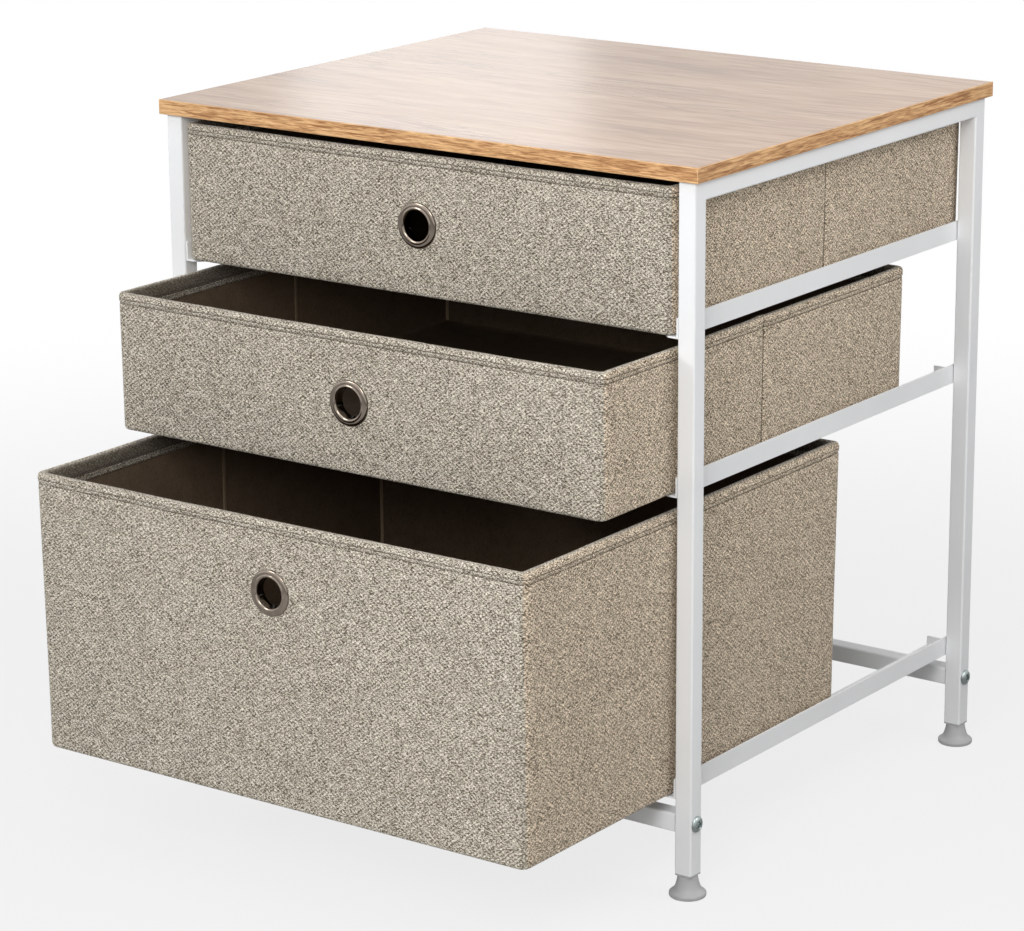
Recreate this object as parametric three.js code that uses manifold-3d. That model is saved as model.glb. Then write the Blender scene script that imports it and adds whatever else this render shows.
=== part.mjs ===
// Fabric drawer dresser: a laminated board on a powder-coated square-tube frame, and three
// open fabric drawers that slide on angle runners inside it.
// Millimetres, +Z up, the front faces -Y, and the floor is at Z 0.

import * as THREE from 'three';
import { mergeVertices } from 'three/addons/utils/BufferGeometryUtils.js';
import Module from 'manifold-3d';

const wasm = await Module();
wasm.setup();

// Frame
const frameWidth = 506;
const frameDepth = 434;
const tubeSide = 15;
const tubeWall = 1;
const tubeCornerRadius = 1.6;
const crossTubeCentreHeight = 60;

// Board on top, with its glued edge strips
const boardThickness = 12;
const boardOverhang = 4.5;
const edgeStripThickness = 1;

// Angle runners that carry the drawers, each with its rear end bent up as a stop
const runnerThickness = 1.5;
const runnerWallHeight = 16;
const runnerShelfWidth = 25;
const runnerStopHeight = 9;
const runnerSetback = 1;

// Levelling feet and the plugs that they screw into
const footHeight = 18;
const footFlangeRadius = 14.5;
const footFlangeEdge = 2;
const footNeckRadius = 7.8;
const footStemRadius = 4;
const footStemLength = 22;
const plugLength = 24;
const plugCollar = 1;

// Bolts through the legs into the cross tubes
const boltHeadRadius = 6.5;
const boltHeadHeight = 3.2;
const boltShankRadius = 3;
const boltTipLength = 6;
const boltRecessWidth = 1.6;
const boltRecessSpan = 7;
const boltRecessDepth = 1.6;
const nutPlateThickness = 3;

// Screws up through the side rails into the board
const screwHeadRadius = 4;
const screwHeadHeight = 2.4;
const screwShankRadius = 2;
const screwBite = 9;
const screwInset = 60;

// Drawers: sewn fabric over stiff boards, with a dark lining
const drawerSideRoom = 5;
const closedDrawerProud = 1.8;
const shallowDrawerHeight = 112;
const deepDrawerHeight = 226;
const coverThickness = 1;
const stiffenerThickness = 3;
const liningThickness = 0.8;
const hemDepth = 11;
const drawerCornerRadius = 5;
const middleDrawerPull = 88;
const bottomDrawerPull = 187;

// Free heights between what lies under and over each drawer, and under the bottom runners
const roomOverTopDrawer = 5.2;
const roomOverMiddleDrawer = 8.2;
const roomOverBottomDrawer = 11.2;
const roomUnderBottomRunner = 11.5;

// Metal eyelet round each finger hole
const eyeletDrop = 56;
const eyeletInnerRadius = 12;
const eyeletOuterRadius = 18.2;
const eyeletBarrelWall = 1;
const eyeletDomeHeight = 2.5;
const washerRadius = 17;
const washerThickness = 1.2;

// Clearances: seatGap lies between pieces that rest on or are pressed against each other,
// holeGap is left round a shank, and cutOverrun is how far a cut runs past its faces.
const seatGap = 0.3;
const holeGap = 0.3;
const cutOverrun = 2;

// Outline of the foot from its neck down to the floor, as shares of its height and of the
// step between the neck's radius and the flange's.
const footOutlineShares = [
  { height: 1, flare: 0 },
  { height: 0.78, flare: 0.1 },
  { height: 0.56, flare: 0.26 },
  { height: 0.42, flare: 0.46 },
  { height: 0.34, flare: 0.8 },
  { height: 0.25, flare: 0.96 },
];
// Outline of a pan head, as shares of its radius and height.
const panHeadShares = [
  { radius: 1, height: 0 },
  { radius: 0.97, height: 0.4 },
  { radius: 0.82, height: 0.8 },
  { radius: 0.5, height: 1 },
];
// The eyelet's dome, as shares of the way from its bore to its rim and of its height.
const eyeletDomeShares = [
  { across: 0, height: 0.45 },
  { across: 0.1, height: 0.82 },
  { across: 0.32, height: 1 },
  { across: 0.62, height: 0.88 },
  { across: 0.86, height: 0.5 },
  { across: 1, height: 0 },
];

// Counts of facets
const cornerFacets = 1;
const drawerCornerFacets = 2;
const roundFacets = 24;
const smallRoundFacets = 12;

// Materials
function finish(name, color, roughness, metalness) {
  return new THREE.MeshStandardMaterial({ name, color, roughness, metalness });
}

const oakLaminate = finish('oak_laminate', 0xd9c0a4, 0.4, 0);
const oakEdge = finish('oak_edge', 0xc7975e, 0.5, 0);
const whitePowderCoat = finish('white_powder_coat', 0xf2f2f2, 0.45, 0.1);
const zincPlate = finish('zinc_plate', 0xaab4b6, 0.35, 1);
const footPlastic = finish('foot_plastic', 0xb6b6b6, 0.55, 0);
const plugPlastic = finish('plug_plastic', 0xd4d4d4, 0.6, 0);
const coverFabric = finish('cover_fabric', 0xb8ae9f, 0.95, 0);
const liningFabric = finish('lining_fabric', 0x35291f, 0.95, 0);
const fibreboard = finish('fibreboard', 0x9a7f60, 0.85, 0);
const eyeletMetal = finish('eyelet_metal', 0xa9a199, 0.25, 1);

// Solid modelling helpers
function toSolid(geometry) {
  const bare = geometry.clone();
  bare.deleteAttribute('normal');
  bare.deleteAttribute('uv');
  const merged = mergeVertices(bare);
  const vertProperties = new Float32Array(merged.attributes.position.array);
  const triVerts = new Uint32Array(merged.index.array);
  return new wasm.Manifold(new wasm.Mesh({ numProp: 3, vertProperties, triVerts }));
}

function toGeometry(manifold) {
  const mesh = manifold.getMesh();
  const geometry = new THREE.BufferGeometry();
  geometry.setAttribute('position', new THREE.BufferAttribute(new Float32Array(mesh.vertProperties), 3));
  geometry.setIndex(new THREE.BufferAttribute(new Uint32Array(mesh.triVerts), 1));
  geometry.computeVertexNormals();
  return geometry;
}

function cutFrom(geometry, tools) {
  let result = toSolid(geometry);
  for (const tool of tools) result = result.subtract(toSolid(tool));
  return toGeometry(result);
}

function joined(geometries) {
  let result = toSolid(geometries[0]);
  for (const geometry of geometries.slice(1)) result = result.add(toSolid(geometry));
  return toGeometry(result);
}

// A box between two opposite corners.
function block(low, high) {
  const size = [0, 1, 2].map((i) => high[i] - low[i]);
  const middle = [0, 1, 2].map((i) => (high[i] + low[i]) / 2);
  return new THREE.BoxGeometry(...size).translate(...middle);
}

// A rectangle centred on the origin with rounded corners.
function roundedOutline(width, depth, radius, OutlineClass) {
  const x = width / 2 - radius;
  const y = depth / 2 - radius;
  const quarter = Math.PI / 2;
  const outline = new OutlineClass();
  outline.absarc(x, y, radius, 0, quarter, false);
  outline.absarc(-x, y, radius, quarter, 2 * quarter, false);
  outline.absarc(-x, -y, radius, 2 * quarter, 3 * quarter, false);
  outline.absarc(x, -y, radius, 3 * quarter, 4 * quarter, false);
  outline.closePath();
  return outline;
}

function extruded(outline, length, curveSegments) {
  return new THREE.ExtrudeGeometry(outline, { depth: length, bevelEnabled: false, curveSegments });
}

// A prism with rounded upright corners, its sides drawn in from the drawer's outline.
function drawerPrism(inset, low, high) {
  const width = drawerWidth - 2 * inset;
  const depth = drawerDepth - 2 * inset;
  const radius = Math.max(drawerCornerRadius - inset, coverThickness / 2);
  const outline = roundedOutline(width, depth, radius, THREE.Shape);
  return extruded(outline, high - low, drawerCornerFacets).translate(0, 0, low);
}

// A cylinder whose axis runs along 'x', 'y' or 'z' through the given centre.
function rod(radius, length, axis, centre, facets = smallRoundFacets) {
  const geometry = new THREE.CylinderGeometry(radius, radius, length, facets);
  if (axis === 'x') geometry.rotateZ(Math.PI / 2);
  if (axis === 'z') geometry.rotateX(Math.PI / 2);
  return geometry.translate(...centre);
}

// A solid of revolution about Z from [radius, height] points.
function turned(profile, facets) {
  const points = profile.map(([radius, height]) => new THREE.Vector2(radius, height));
  return new THREE.LatheGeometry(points, facets).rotateX(Math.PI / 2);
}

// A square tube along Z from 0, centred on its axis.
function squareTube(length) {
  const outline = roundedOutline(tubeSide, tubeSide, tubeCornerRadius, THREE.Shape);
  const boreSide = tubeSide - 2 * tubeWall;
  const boreRadius = Math.max(tubeCornerRadius - tubeWall, tubeWall / 4);
  outline.holes.push(roundedOutline(boreSide, boreSide, boreRadius, THREE.Path));
  return extruded(outline, length, cornerFacets);
}

function piece(name, geometry, material, parent, position = [0, 0, 0]) {
  const mesh = new THREE.Mesh(geometry, material);
  mesh.name = name;
  mesh.position.set(...position);
  parent.add(mesh);
  return mesh;
}

// Heights, built up from the cross tubes to the board
const runnerSeat = runnerThickness + seatGap;
const bottomRunnerHeight = crossTubeCentreHeight + tubeSide / 2 + roomUnderBottomRunner;
const middleRunnerHeight = bottomRunnerHeight + runnerSeat + deepDrawerHeight + roomOverBottomDrawer;
const topRunnerHeight = middleRunnerHeight + runnerSeat + shallowDrawerHeight + roomOverMiddleDrawer;
const boardUnderside = topRunnerHeight + runnerSeat + shallowDrawerHeight + roomOverTopDrawer;
const boardTop = boardUnderside + boardThickness;
const legBottom = footHeight;
const legLength = boardUnderside - legBottom;

// Places that several pieces share
const legAxisX = (frameWidth - tubeSide) / 2;
const legAxisFront = tubeSide / 2;
const legAxisRear = frameDepth - tubeSide / 2;
const legInnerX = frameWidth / 2 - tubeSide;
const railAxisHeight = boardUnderside - seatGap - tubeSide / 2;
const boltHoleRadius = boltShankRadius + holeGap;
const screwHoleRadius = screwShankRadius + holeGap;
const closedDrawerRear = frameDepth - runnerSetback - runnerSeat;
const closedDrawerFront = -closedDrawerProud;
const drawerDepth = closedDrawerRear - closedDrawerFront;
const drawerWidth = frameWidth - 2 * tubeSide - 2 * drawerSideRoom;

const sides = [
  { name: 'left', sign: -1 },
  { name: 'right', sign: 1 },
];
const ends = [
  { name: 'front', y: legAxisFront, sign: -1 },
  { name: 'rear', y: legAxisRear, sign: 1 },
];
const corners = ends.flatMap((end) => sides.map((side) => ({
  name: `${end.name}_${side.name}`,
  side: side.sign,
  x: side.sign * legAxisX,
  y: end.y,
})));

const drawers = [
  { name: 'top', height: shallowDrawerHeight, runner: topRunnerHeight, pull: 0 },
  { name: 'middle', height: shallowDrawerHeight, runner: middleRunnerHeight, pull: middleDrawerPull },
  { name: 'bottom', height: deepDrawerHeight, runner: bottomRunnerHeight, pull: bottomDrawerPull },
];

// Board and edge strips
function screwPlaces() {
  const places = [];
  for (const corner of corners) {
    const y = corner.y < frameDepth / 2 ? screwInset : frameDepth - screwInset;
    places.push({ name: corner.name, x: corner.x, y });
  }
  return places;
}

function addBoard(parent) {
  const coreX = frameWidth / 2 + boardOverhang - edgeStripThickness;
  const coreFront = edgeStripThickness - boardOverhang;
  const coreRear = frameDepth + boardOverhang - edgeStripThickness;
  const pilotDepth = screwBite + holeGap;
  const core = block([-coreX, coreFront, boardUnderside], [coreX, coreRear, boardTop]);
  const pilots = screwPlaces().map(({ x, y }) => {
    const length = pilotDepth + cutOverrun;
    return rod(screwHoleRadius, length, 'z', [x, y, boardUnderside + pilotDepth - length / 2]);
  });
  piece('tabletop_board', cutFrom(core, pilots), oakLaminate, parent);

  const stripInnerX = coreX + seatGap / 2;
  const outerX = frameWidth / 2 + boardOverhang;
  const stripFront = coreFront - seatGap / 2;
  const stripRear = coreRear + seatGap / 2;
  const outerFront = -boardOverhang;
  const outerRear = frameDepth + boardOverhang;
  for (const side of sides) {
    const x = [side.sign * stripInnerX, side.sign * outerX].sort((a, b) => a - b);
    const strip = block([x[0], stripFront, boardUnderside], [x[1], stripRear, boardTop]);
    piece(`edge_strip_${side.name}`, strip, oakEdge, parent);
  }
  const front = block([-outerX, outerFront, boardUnderside], [outerX, stripFront - seatGap / 2, boardTop]);
  const rear = block([-outerX, stripRear + seatGap / 2, boardUnderside], [outerX, outerRear, boardTop]);
  piece('edge_strip_front', front, oakEdge, parent);
  piece('edge_strip_rear', rear, oakEdge, parent);
}

// Welded side frames: legs, side rails and runners
function addLeg(corner, parent) {
  const hole = rod(
    boltHoleRadius, tubeSide + 2 * cutOverrun, 'x', [0, 0, crossTubeCentreHeight - legBottom - plugCollar],
  );
  const length = legLength - plugCollar - seatGap;
  const leg = cutFrom(squareTube(length), [hole]);
  piece(`leg_${corner.name}`, leg, whitePowderCoat, parent, [corner.x, corner.y, legBottom + plugCollar]);
}

function addSideRail(side, parent) {
  const length = frameDepth - 2 * tubeSide - 2 * seatGap;
  const start = tubeSide + seatGap;
  const holes = [screwInset, frameDepth - screwInset].map((y) => (
    rod(screwHoleRadius, tubeSide + 2 * cutOverrun, 'z', [0, y - start, 0])
  ));
  const alongY = squareTube(length).rotateX(-Math.PI / 2);
  const rail = cutFrom(alongY, holes);
  piece(`side_rail_${side.name}`, rail, whitePowderCoat, parent, [side.sign * legAxisX, start, railAxisHeight]);
}

function addRunner(drawer, side, parent) {
  const wallX = legInnerX - seatGap;
  const shelfX = wallX - runnerShelfWidth;
  const front = runnerSetback;
  const rear = frameDepth - runnerSetback;
  const profile = new THREE.Shape();
  profile.moveTo(wallX, 0);
  profile.lineTo(wallX, runnerWallHeight);
  profile.lineTo(wallX - runnerThickness, runnerWallHeight);
  profile.lineTo(wallX - runnerThickness, runnerThickness);
  profile.lineTo(shelfX, runnerThickness);
  profile.lineTo(shelfX, 0);
  profile.closePath();
  const angle = extruded(profile, rear - front, cornerFacets).rotateX(Math.PI / 2).translate(0, rear, 0);
  const stop = block([shelfX, rear - runnerThickness, 0], [wallX, rear, runnerStopHeight]);
  const runner = joined([angle, stop]);
  if (side.sign < 0) runner.applyMatrix4(new THREE.Matrix4().makeScale(-1, 1, 1));
  if (side.sign < 0) flipFaces(runner);
  piece(`runner_${drawer.name}_${side.name}`, runner, whitePowderCoat, parent, [0, 0, drawer.runner]);
}

// A mirrored geometry has its faces inside out, so each triangle is turned over.
function flipFaces(geometry) {
  const index = geometry.index.array;
  for (let i = 0; i < index.length; i += 3) {
    const kept = index[i];
    index[i] = index[i + 1];
    index[i + 1] = kept;
  }
  geometry.computeVertexNormals();
}

// Cross tubes between the side frames, with a threaded nut plate in each end
function addCrossTube(end, parent) {
  const length = frameWidth - 2 * tubeSide - 2 * seatGap;
  const alongX = squareTube(length).rotateY(Math.PI / 2).translate(-length / 2, 0, 0);
  const plateSide = tubeSide - tubeWall;
  const plateOutline = roundedOutline(plateSide, plateSide, tubeCornerRadius, THREE.Shape);
  const plates = [-length / 2, length / 2 - nutPlateThickness].map((start) => (
    extruded(plateOutline, nutPlateThickness, cornerFacets).rotateY(Math.PI / 2).translate(start, 0, 0)
  ));
  const bore = rod(boltHoleRadius, length + 2 * cutOverrun, 'x', [0, 0, 0]);
  const tube = cutFrom(joined([alongX, ...plates]), [bore]);
  piece(`cross_tube_${end.name}`, tube, whitePowderCoat, parent, [0, end.y, crossTubeCentreHeight]);
}

function addCrossBolt(corner, parent) {
  const shank = tubeSide + nutPlateThickness + boltTipLength + 2 * seatGap;
  const head = panHeadShares.map(({ radius, height }) => (
    [radius * boltHeadRadius, shank + height * boltHeadHeight]
  ));
  const profile = [
    [0, 0],
    [boltShankRadius, 0],
    [boltShankRadius, shank],
    ...head,
    [0, shank + boltHeadHeight],
  ];
  const top = shank + boltHeadHeight;
  const half = boltRecessSpan / 2;
  const slot = boltRecessWidth / 2;
  const recess = [
    block([-half, -slot, top - boltRecessDepth], [half, slot, top + cutOverrun]),
    block([-slot, -half, top - boltRecessDepth], [slot, half, top + cutOverrun]),
  ];
  const bolt = cutFrom(turned(profile, smallRoundFacets), recess);
  const outward = corner.side * Math.PI / 2;
  const tipX = corner.side * (frameWidth / 2 + seatGap - shank);
  const mesh = piece(
    `cross_bolt_${corner.name}`, bolt, zincPlate, parent, [tipX, corner.y, crossTubeCentreHeight],
  );
  mesh.rotation.y = outward;
}

function addTabletopScrew(place, parent) {
  const headTop = railAxisHeight - tubeSide / 2 - seatGap;
  const shank = boardUnderside + screwBite - headTop;
  const head = panHeadShares.map(({ radius, height }) => (
    [radius * screwHeadRadius, -height * screwHeadHeight]
  ));
  const profile = [
    [0, -screwHeadHeight],
    ...head.reverse(),
    [screwShankRadius, 0],
    [screwShankRadius, shank - screwShankRadius],
    [0, shank],
  ];
  const screw = turned(profile, smallRoundFacets);
  piece(`tabletop_screw_${place.name}`, screw, zincPlate, parent, [place.x, place.y, headTop]);
}

// Plugs in the legs' lower ends and the feet screwed into them
function addLegPlug(corner, parent) {
  const plugSide = tubeSide - 2 * tubeWall - 2 * seatGap;
  const half = tubeSide / 2;
  const collar = block([-half, -half, -seatGap], [half, half, plugCollar - seatGap]);
  const body = block([-plugSide / 2, -plugSide / 2, 0], [plugSide / 2, plugSide / 2, plugLength]);
  const bore = rod(footStemRadius + holeGap, plugLength + 2 * cutOverrun, 'z', [0, 0, plugLength / 2]);
  const plug = cutFrom(joined([collar, body]), [bore]);
  piece(`leg_plug_${corner.name}`, plug, plugPlastic, parent, [corner.x, corner.y, legBottom]);
}

function addFoot(corner, parent) {
  const top = footHeight - 2 * seatGap;
  const flare = footFlangeRadius - footNeckRadius;
  const outline = footOutlineShares.map(({ height, flare: share }) => (
    [footNeckRadius + share * flare, height * top]
  ));
  const profile = [
    [0, footStemLength + top],
    [footStemRadius, footStemLength + top],
    [footStemRadius, top],
    ...outline,
    [footFlangeRadius, footFlangeEdge],
    [footFlangeRadius - footFlangeEdge, 0],
    [0, 0],
  ];
  const foot = turned(profile.reverse(), roundFacets);
  piece(`foot_${corner.name}`, foot, footPlastic, parent, [corner.x, corner.y, 0]);
}

// Drawers
const layerStep = {
  stiffener: coverThickness + seatGap,
  lining: coverThickness + seatGap + stiffenerThickness + seatGap,
  flap: coverThickness + seatGap + stiffenerThickness + seatGap + liningThickness + seatGap,
};
const wallThickness = layerStep.flap + coverThickness;
const liningInner = layerStep.lining + liningThickness;

function fingerHole(drawer) {
  const radius = eyeletInnerRadius + eyeletBarrelWall + holeGap;
  const length = wallThickness + 2 * cutOverrun;
  const y = -drawerDepth / 2 + wallThickness / 2;
  return rod(radius, length, 'y', [0, y, drawer.height - eyeletDrop], roundFacets);
}

// The outer fabric, turned over the rim and sewn down inside as a hem.
function drawerCover(drawer) {
  const top = drawer.height;
  const outer = drawerPrism(0, 0, top);
  const pocket = drawerPrism(coverThickness, coverThickness, top - hemDepth);
  const underHem = toSolid(drawerPrism(coverThickness, top - hemDepth - cutOverrun, top - coverThickness))
    .subtract(toSolid(drawerPrism(layerStep.flap, top - hemDepth, top)));
  const mouth = drawerPrism(wallThickness, top - hemDepth - cutOverrun, top + cutOverrun);
  const shell = toSolid(outer)
    .subtract(toSolid(pocket))
    .subtract(underHem)
    .subtract(toSolid(mouth))
    .subtract(toSolid(fingerHole(drawer)));
  return toGeometry(shell);
}

function drawerLining(drawer) {
  const floor = layerStep.lining;
  const outer = drawerPrism(layerStep.lining, floor, drawer.height - coverThickness - seatGap);
  const inside = drawerPrism(liningInner, floor + liningThickness, drawer.height);
  return cutFrom(outer, [inside, fingerHole(drawer)]);
}

// The stiff boards in the walls stop short of the rounded corners.
function addStiffeners(drawer, parent) {
  const bottom = layerStep.stiffener;
  const top = drawer.height - coverThickness - seatGap;
  const outerX = drawerWidth / 2 - layerStep.stiffener;
  const outerY = drawerDepth / 2 - layerStep.stiffener;
  const halfAcross = drawerWidth / 2 - layerStep.lining - drawerCornerRadius;
  const halfAlong = drawerDepth / 2 - layerStep.lining - drawerCornerRadius;
  const t = stiffenerThickness;
  const front = block([-halfAcross, -outerY, bottom], [halfAcross, t - outerY, top]);
  const rear = block([-halfAcross, outerY - t, bottom], [halfAcross, outerY, top]);
  const left = block([-outerX, -halfAlong, bottom], [t - outerX, halfAlong, top]);
  const right = block([outerX - t, -halfAlong, bottom], [outerX, halfAlong, top]);
  const baseX = outerX - t - seatGap;
  const baseY = outerY - t - seatGap;
  const base = block([-baseX, -baseY, bottom], [baseX, baseY, bottom + t]);
  piece(`${drawer.name}_drawer_front_board`, cutFrom(front, [fingerHole(drawer)]), fibreboard, parent);
  piece(`${drawer.name}_drawer_rear_board`, rear, fibreboard, parent);
  piece(`${drawer.name}_drawer_left_board`, left, fibreboard, parent);
  piece(`${drawer.name}_drawer_right_board`, right, fibreboard, parent);
  piece(`${drawer.name}_drawer_base_board`, base, fibreboard, parent);
}

// The eyelet: a domed flange in front, a barrel through the wall and a washer clinched behind.
function drawerEyelet() {
  const barrelRadius = eyeletInnerRadius + eyeletBarrelWall;
  const span = eyeletOuterRadius - eyeletInnerRadius;
  const domeFoot = seatGap;
  const dome = eyeletDomeShares.map(({ across, height }) => (
    [eyeletInnerRadius + across * span, domeFoot + height * eyeletDomeHeight]
  ));
  const washerFront = -liningInner - seatGap;
  const washerBack = washerFront - washerThickness;
  const profile = [
    [eyeletInnerRadius, washerBack],
    ...dome,
    [barrelRadius, domeFoot],
    [barrelRadius, washerFront],
    [washerRadius, washerFront],
    [washerRadius, washerBack],
    [eyeletInnerRadius, washerBack],
  ];
  return turned(profile.reverse(), roundFacets);
}

function addDrawer(drawer, parent) {
  const group = new THREE.Group();
  const middleY = closedDrawerFront + drawerDepth / 2 - drawer.pull;
  group.position.set(0, middleY, drawer.runner + runnerSeat);
  piece(`${drawer.name}_drawer_cover`, drawerCover(drawer), coverFabric, group);
  piece(`${drawer.name}_drawer_lining`, drawerLining(drawer), liningFabric, group);
  addStiffeners(drawer, group);
  const eyelet = piece(
    `${drawer.name}_drawer_eyelet`, drawerEyelet(), eyeletMetal, group,
    [0, -drawerDepth / 2, drawer.height - eyeletDrop],
  );
  eyelet.rotation.x = Math.PI / 2;
  parent.add(group);
}

// The whole dresser. Its origin is on the floor, under the middle of its box as it stands with
// the drawers drawn out.
function addFrame(parent) {
  addBoard(parent);
  for (const corner of corners) {
    addLeg(corner, parent);
    addLegPlug(corner, parent);
    addFoot(corner, parent);
    addCrossBolt(corner, parent);
  }
  for (const side of sides) addSideRail(side, parent);
  for (const end of ends) addCrossTube(end, parent);
  for (const place of screwPlaces()) addTabletopScrew(place, parent);
  for (const drawer of drawers) {
    for (const side of sides) addRunner(drawer, side, parent);
  }
}

const dresser = new THREE.Group();
dresser.name = 'fabric_drawer_dresser';
const furthestPull = Math.max(...drawers.map((drawer) => drawer.pull));
const frontmost = closedDrawerFront - furthestPull - seatGap - eyeletDomeHeight;
const rearmost = Math.max(frameDepth + boardOverhang, legAxisRear + footFlangeRadius);
dresser.position.y = -(frontmost + rearmost) / 2;
addFrame(dresser);
for (const drawer of drawers) addDrawer(drawer, dresser);
dresser.updateMatrixWorld(true);

export default dresser;
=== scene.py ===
"""Looks of a fabric drawer dresser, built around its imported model.

Metres, +Z up, the drawers pull out towards -Y. Every piece rides on a body of the model.
"""

import math

import bmesh
import bpy
from bpy.props import FloatProperty, FloatVectorProperty, IntProperty, PointerProperty
from bpy.types import Operator, Panel, PropertyGroup
from mathutils import Euler, Matrix, Vector, noise


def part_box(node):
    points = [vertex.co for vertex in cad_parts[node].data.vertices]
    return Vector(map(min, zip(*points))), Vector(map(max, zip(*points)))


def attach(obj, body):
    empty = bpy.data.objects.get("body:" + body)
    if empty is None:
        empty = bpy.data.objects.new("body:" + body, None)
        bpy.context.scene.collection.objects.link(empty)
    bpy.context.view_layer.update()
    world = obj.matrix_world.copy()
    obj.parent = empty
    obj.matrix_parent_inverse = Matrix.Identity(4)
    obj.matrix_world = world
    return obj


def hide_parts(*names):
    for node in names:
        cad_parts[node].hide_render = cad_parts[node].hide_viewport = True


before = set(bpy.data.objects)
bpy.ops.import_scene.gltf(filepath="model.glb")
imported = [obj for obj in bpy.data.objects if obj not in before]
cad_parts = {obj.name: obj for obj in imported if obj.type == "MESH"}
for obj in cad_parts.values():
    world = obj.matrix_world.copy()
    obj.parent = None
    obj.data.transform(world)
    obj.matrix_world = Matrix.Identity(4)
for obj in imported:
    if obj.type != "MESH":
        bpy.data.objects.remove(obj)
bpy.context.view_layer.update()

bl_info = {
    "name": "Fabric drawer dresser",
    "version": (1, 0, 0),
    "blender": (4, 5, 0),
    "location": "View3D > Sidebar > Dresser",
    "description": "Builds the pieces and finishes of a dresser with fabric drawers",
    "category": "Object",
}

MM = 0.001
# Points nearer than this count as one, and those nearer than SEAM are merged
NEAR = MM / 100
SEAM = 0.002 * MM
# The gap that the model leaves between pieces that touch
SEAT = 0.3 * MM
SIDES = {"left": -1, "right": 1}
ENDS = {"front": -1, "rear": 1}
CORNERS = [f"{end}_{side}" for end in ENDS for side in SIDES]
DRAWERS = ("top", "middle", "bottom")
WEAVE_UV = "weave"
# The attribute that paints shade on the fabric's folds, flap and binding, and what it says in a shaded and
# in a sewn fold
PAINTED_SHADE = "fold_shade"
PAINTED_SHADE_FOLD = 1.0
SEWN_FOLD = 2.0
# A direction whose largest part reaches this counts as square to the other axes
SQUARE = 0.9999


def tint(red, green, blue):
    """A colour of 0 to 255 steps as the linear light that shaders reckon in."""
    steps = [c / 255 for c in (red, green, blue)]
    return tuple(c / 12.92 if c <= 0.04045 else ((c + 0.055) / 1.055) ** 2.4 for c in steps)


def length(name, description, size_mm):
    size = size_mm * MM
    return FloatProperty(name=name, description=description, default=size, min=0, unit="LENGTH")


def share(name, description, default, top=1.0):
    return FloatProperty(
        name=name, description=description, default=default, min=0, max=top, subtype="FACTOR"
    )


def power(name, description, watts):
    return FloatProperty(name=name, description=description, default=watts, min=0, unit="POWER")


def colour(name, description, *steps):
    return FloatVectorProperty(
        name=name, description=description, default=tint(*steps), size=3, min=0, max=1, subtype="COLOR"
    )


# Settings


class BoardSettings(PropertyGroup):
    edge_round: length("Edge rounding", "Radius of the board's outer edges", 0.9)
    joint_round: length("Joint rounding", "Radius of the edges where the strips meet the board", 0.18)
    pale: colour("Pale oak", "Lightest tone of the printed oak on top", 211, 181, 153)
    middle: colour("Oak", "Main tone of the printed oak on top", 192, 157, 129)
    dark: colour("Dark oak", "Tone of the streaks in the printed oak on top", 162, 127, 101)
    knot: colour("Knot", "Tone of the knots and fine cracks", 104, 82, 68)
    edge_pale: colour("Edge pale", "Lightest tone of the edge strips", 234, 190, 138)
    edge_middle: colour("Edge oak", "Main tone of the edge strips", 199, 151, 103)
    edge_dark: colour("Edge dark", "Tone of the streaks in the edge strips", 150, 102, 61)
    gloss: share("Roughness", "Roughness of the board's surface", 0.2)


class FrameSettings(PropertyGroup):
    tube_wall: length("Tube wall", "Wall of the square tubes", 1)
    tube_round: length("Tube corner", "Outer corner radius of the square tubes", 1.6)
    sheet: length("Sheet", "Thickness of the runners", 1.5)
    sheet_round: length("Sheet edge", "Radius of the runners' edges, less than the drawers' play", 0.24)
    bend_slit: length("Slit", "Gap between a runner's wall and its bent-up stop", 3)
    stop_height: length("Stop", "Height of the stop at a runner's rear end", 9)
    nose: length("Nose", "Width of a runner's shelf at its front end", 9)
    weld_radius: length("Weld", "Radius of the weld beads", 1.5)
    bolt_head: length("Bolt head", "Radius of a bolt's head", 6.5)
    bolt_rise: length("Bolt rise", "Height of a bolt's head", 3.3)
    bolt_shank: length("Bolt shank", "Radius of a bolt's shank", 3)
    bolt_length: length("Bolt length", "Length of a bolt's shank", 24)
    screw_head: length("Screw head", "Radius of a screw's head", 4)
    screw_rise: length("Screw rise", "Height of a screw's head", 2.4)
    screw_shank: length("Screw shank", "Radius of a screw's shank", 2)
    screw_length: length("Screw length", "Length of a screw's shank", 23)
    plug_ledge: length("Plug ledge", "How far a plug's collar stands out past its body", 1.3)
    plug_wall: length("Plug wall", "Wall of a plug's body at its thinnest", 1.9)
    plug_bore: length("Plug bore", "Radius of the hole for the foot's stem", 4.3)
    coat: colour("Powder coat", "White of the coated steel", 242, 243, 244)
    coat_roughness: share("Coat roughness", "Roughness of the powder coat", 0.36)
    zinc: colour("Zinc", "Plated bolts and screws", 176, 186, 185)
    foot: colour("Foot", "Grey of the levelling feet", 188, 188, 189)
    plug: colour("Plug", "Grey of the plugs in the legs", 190, 190, 191)


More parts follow.
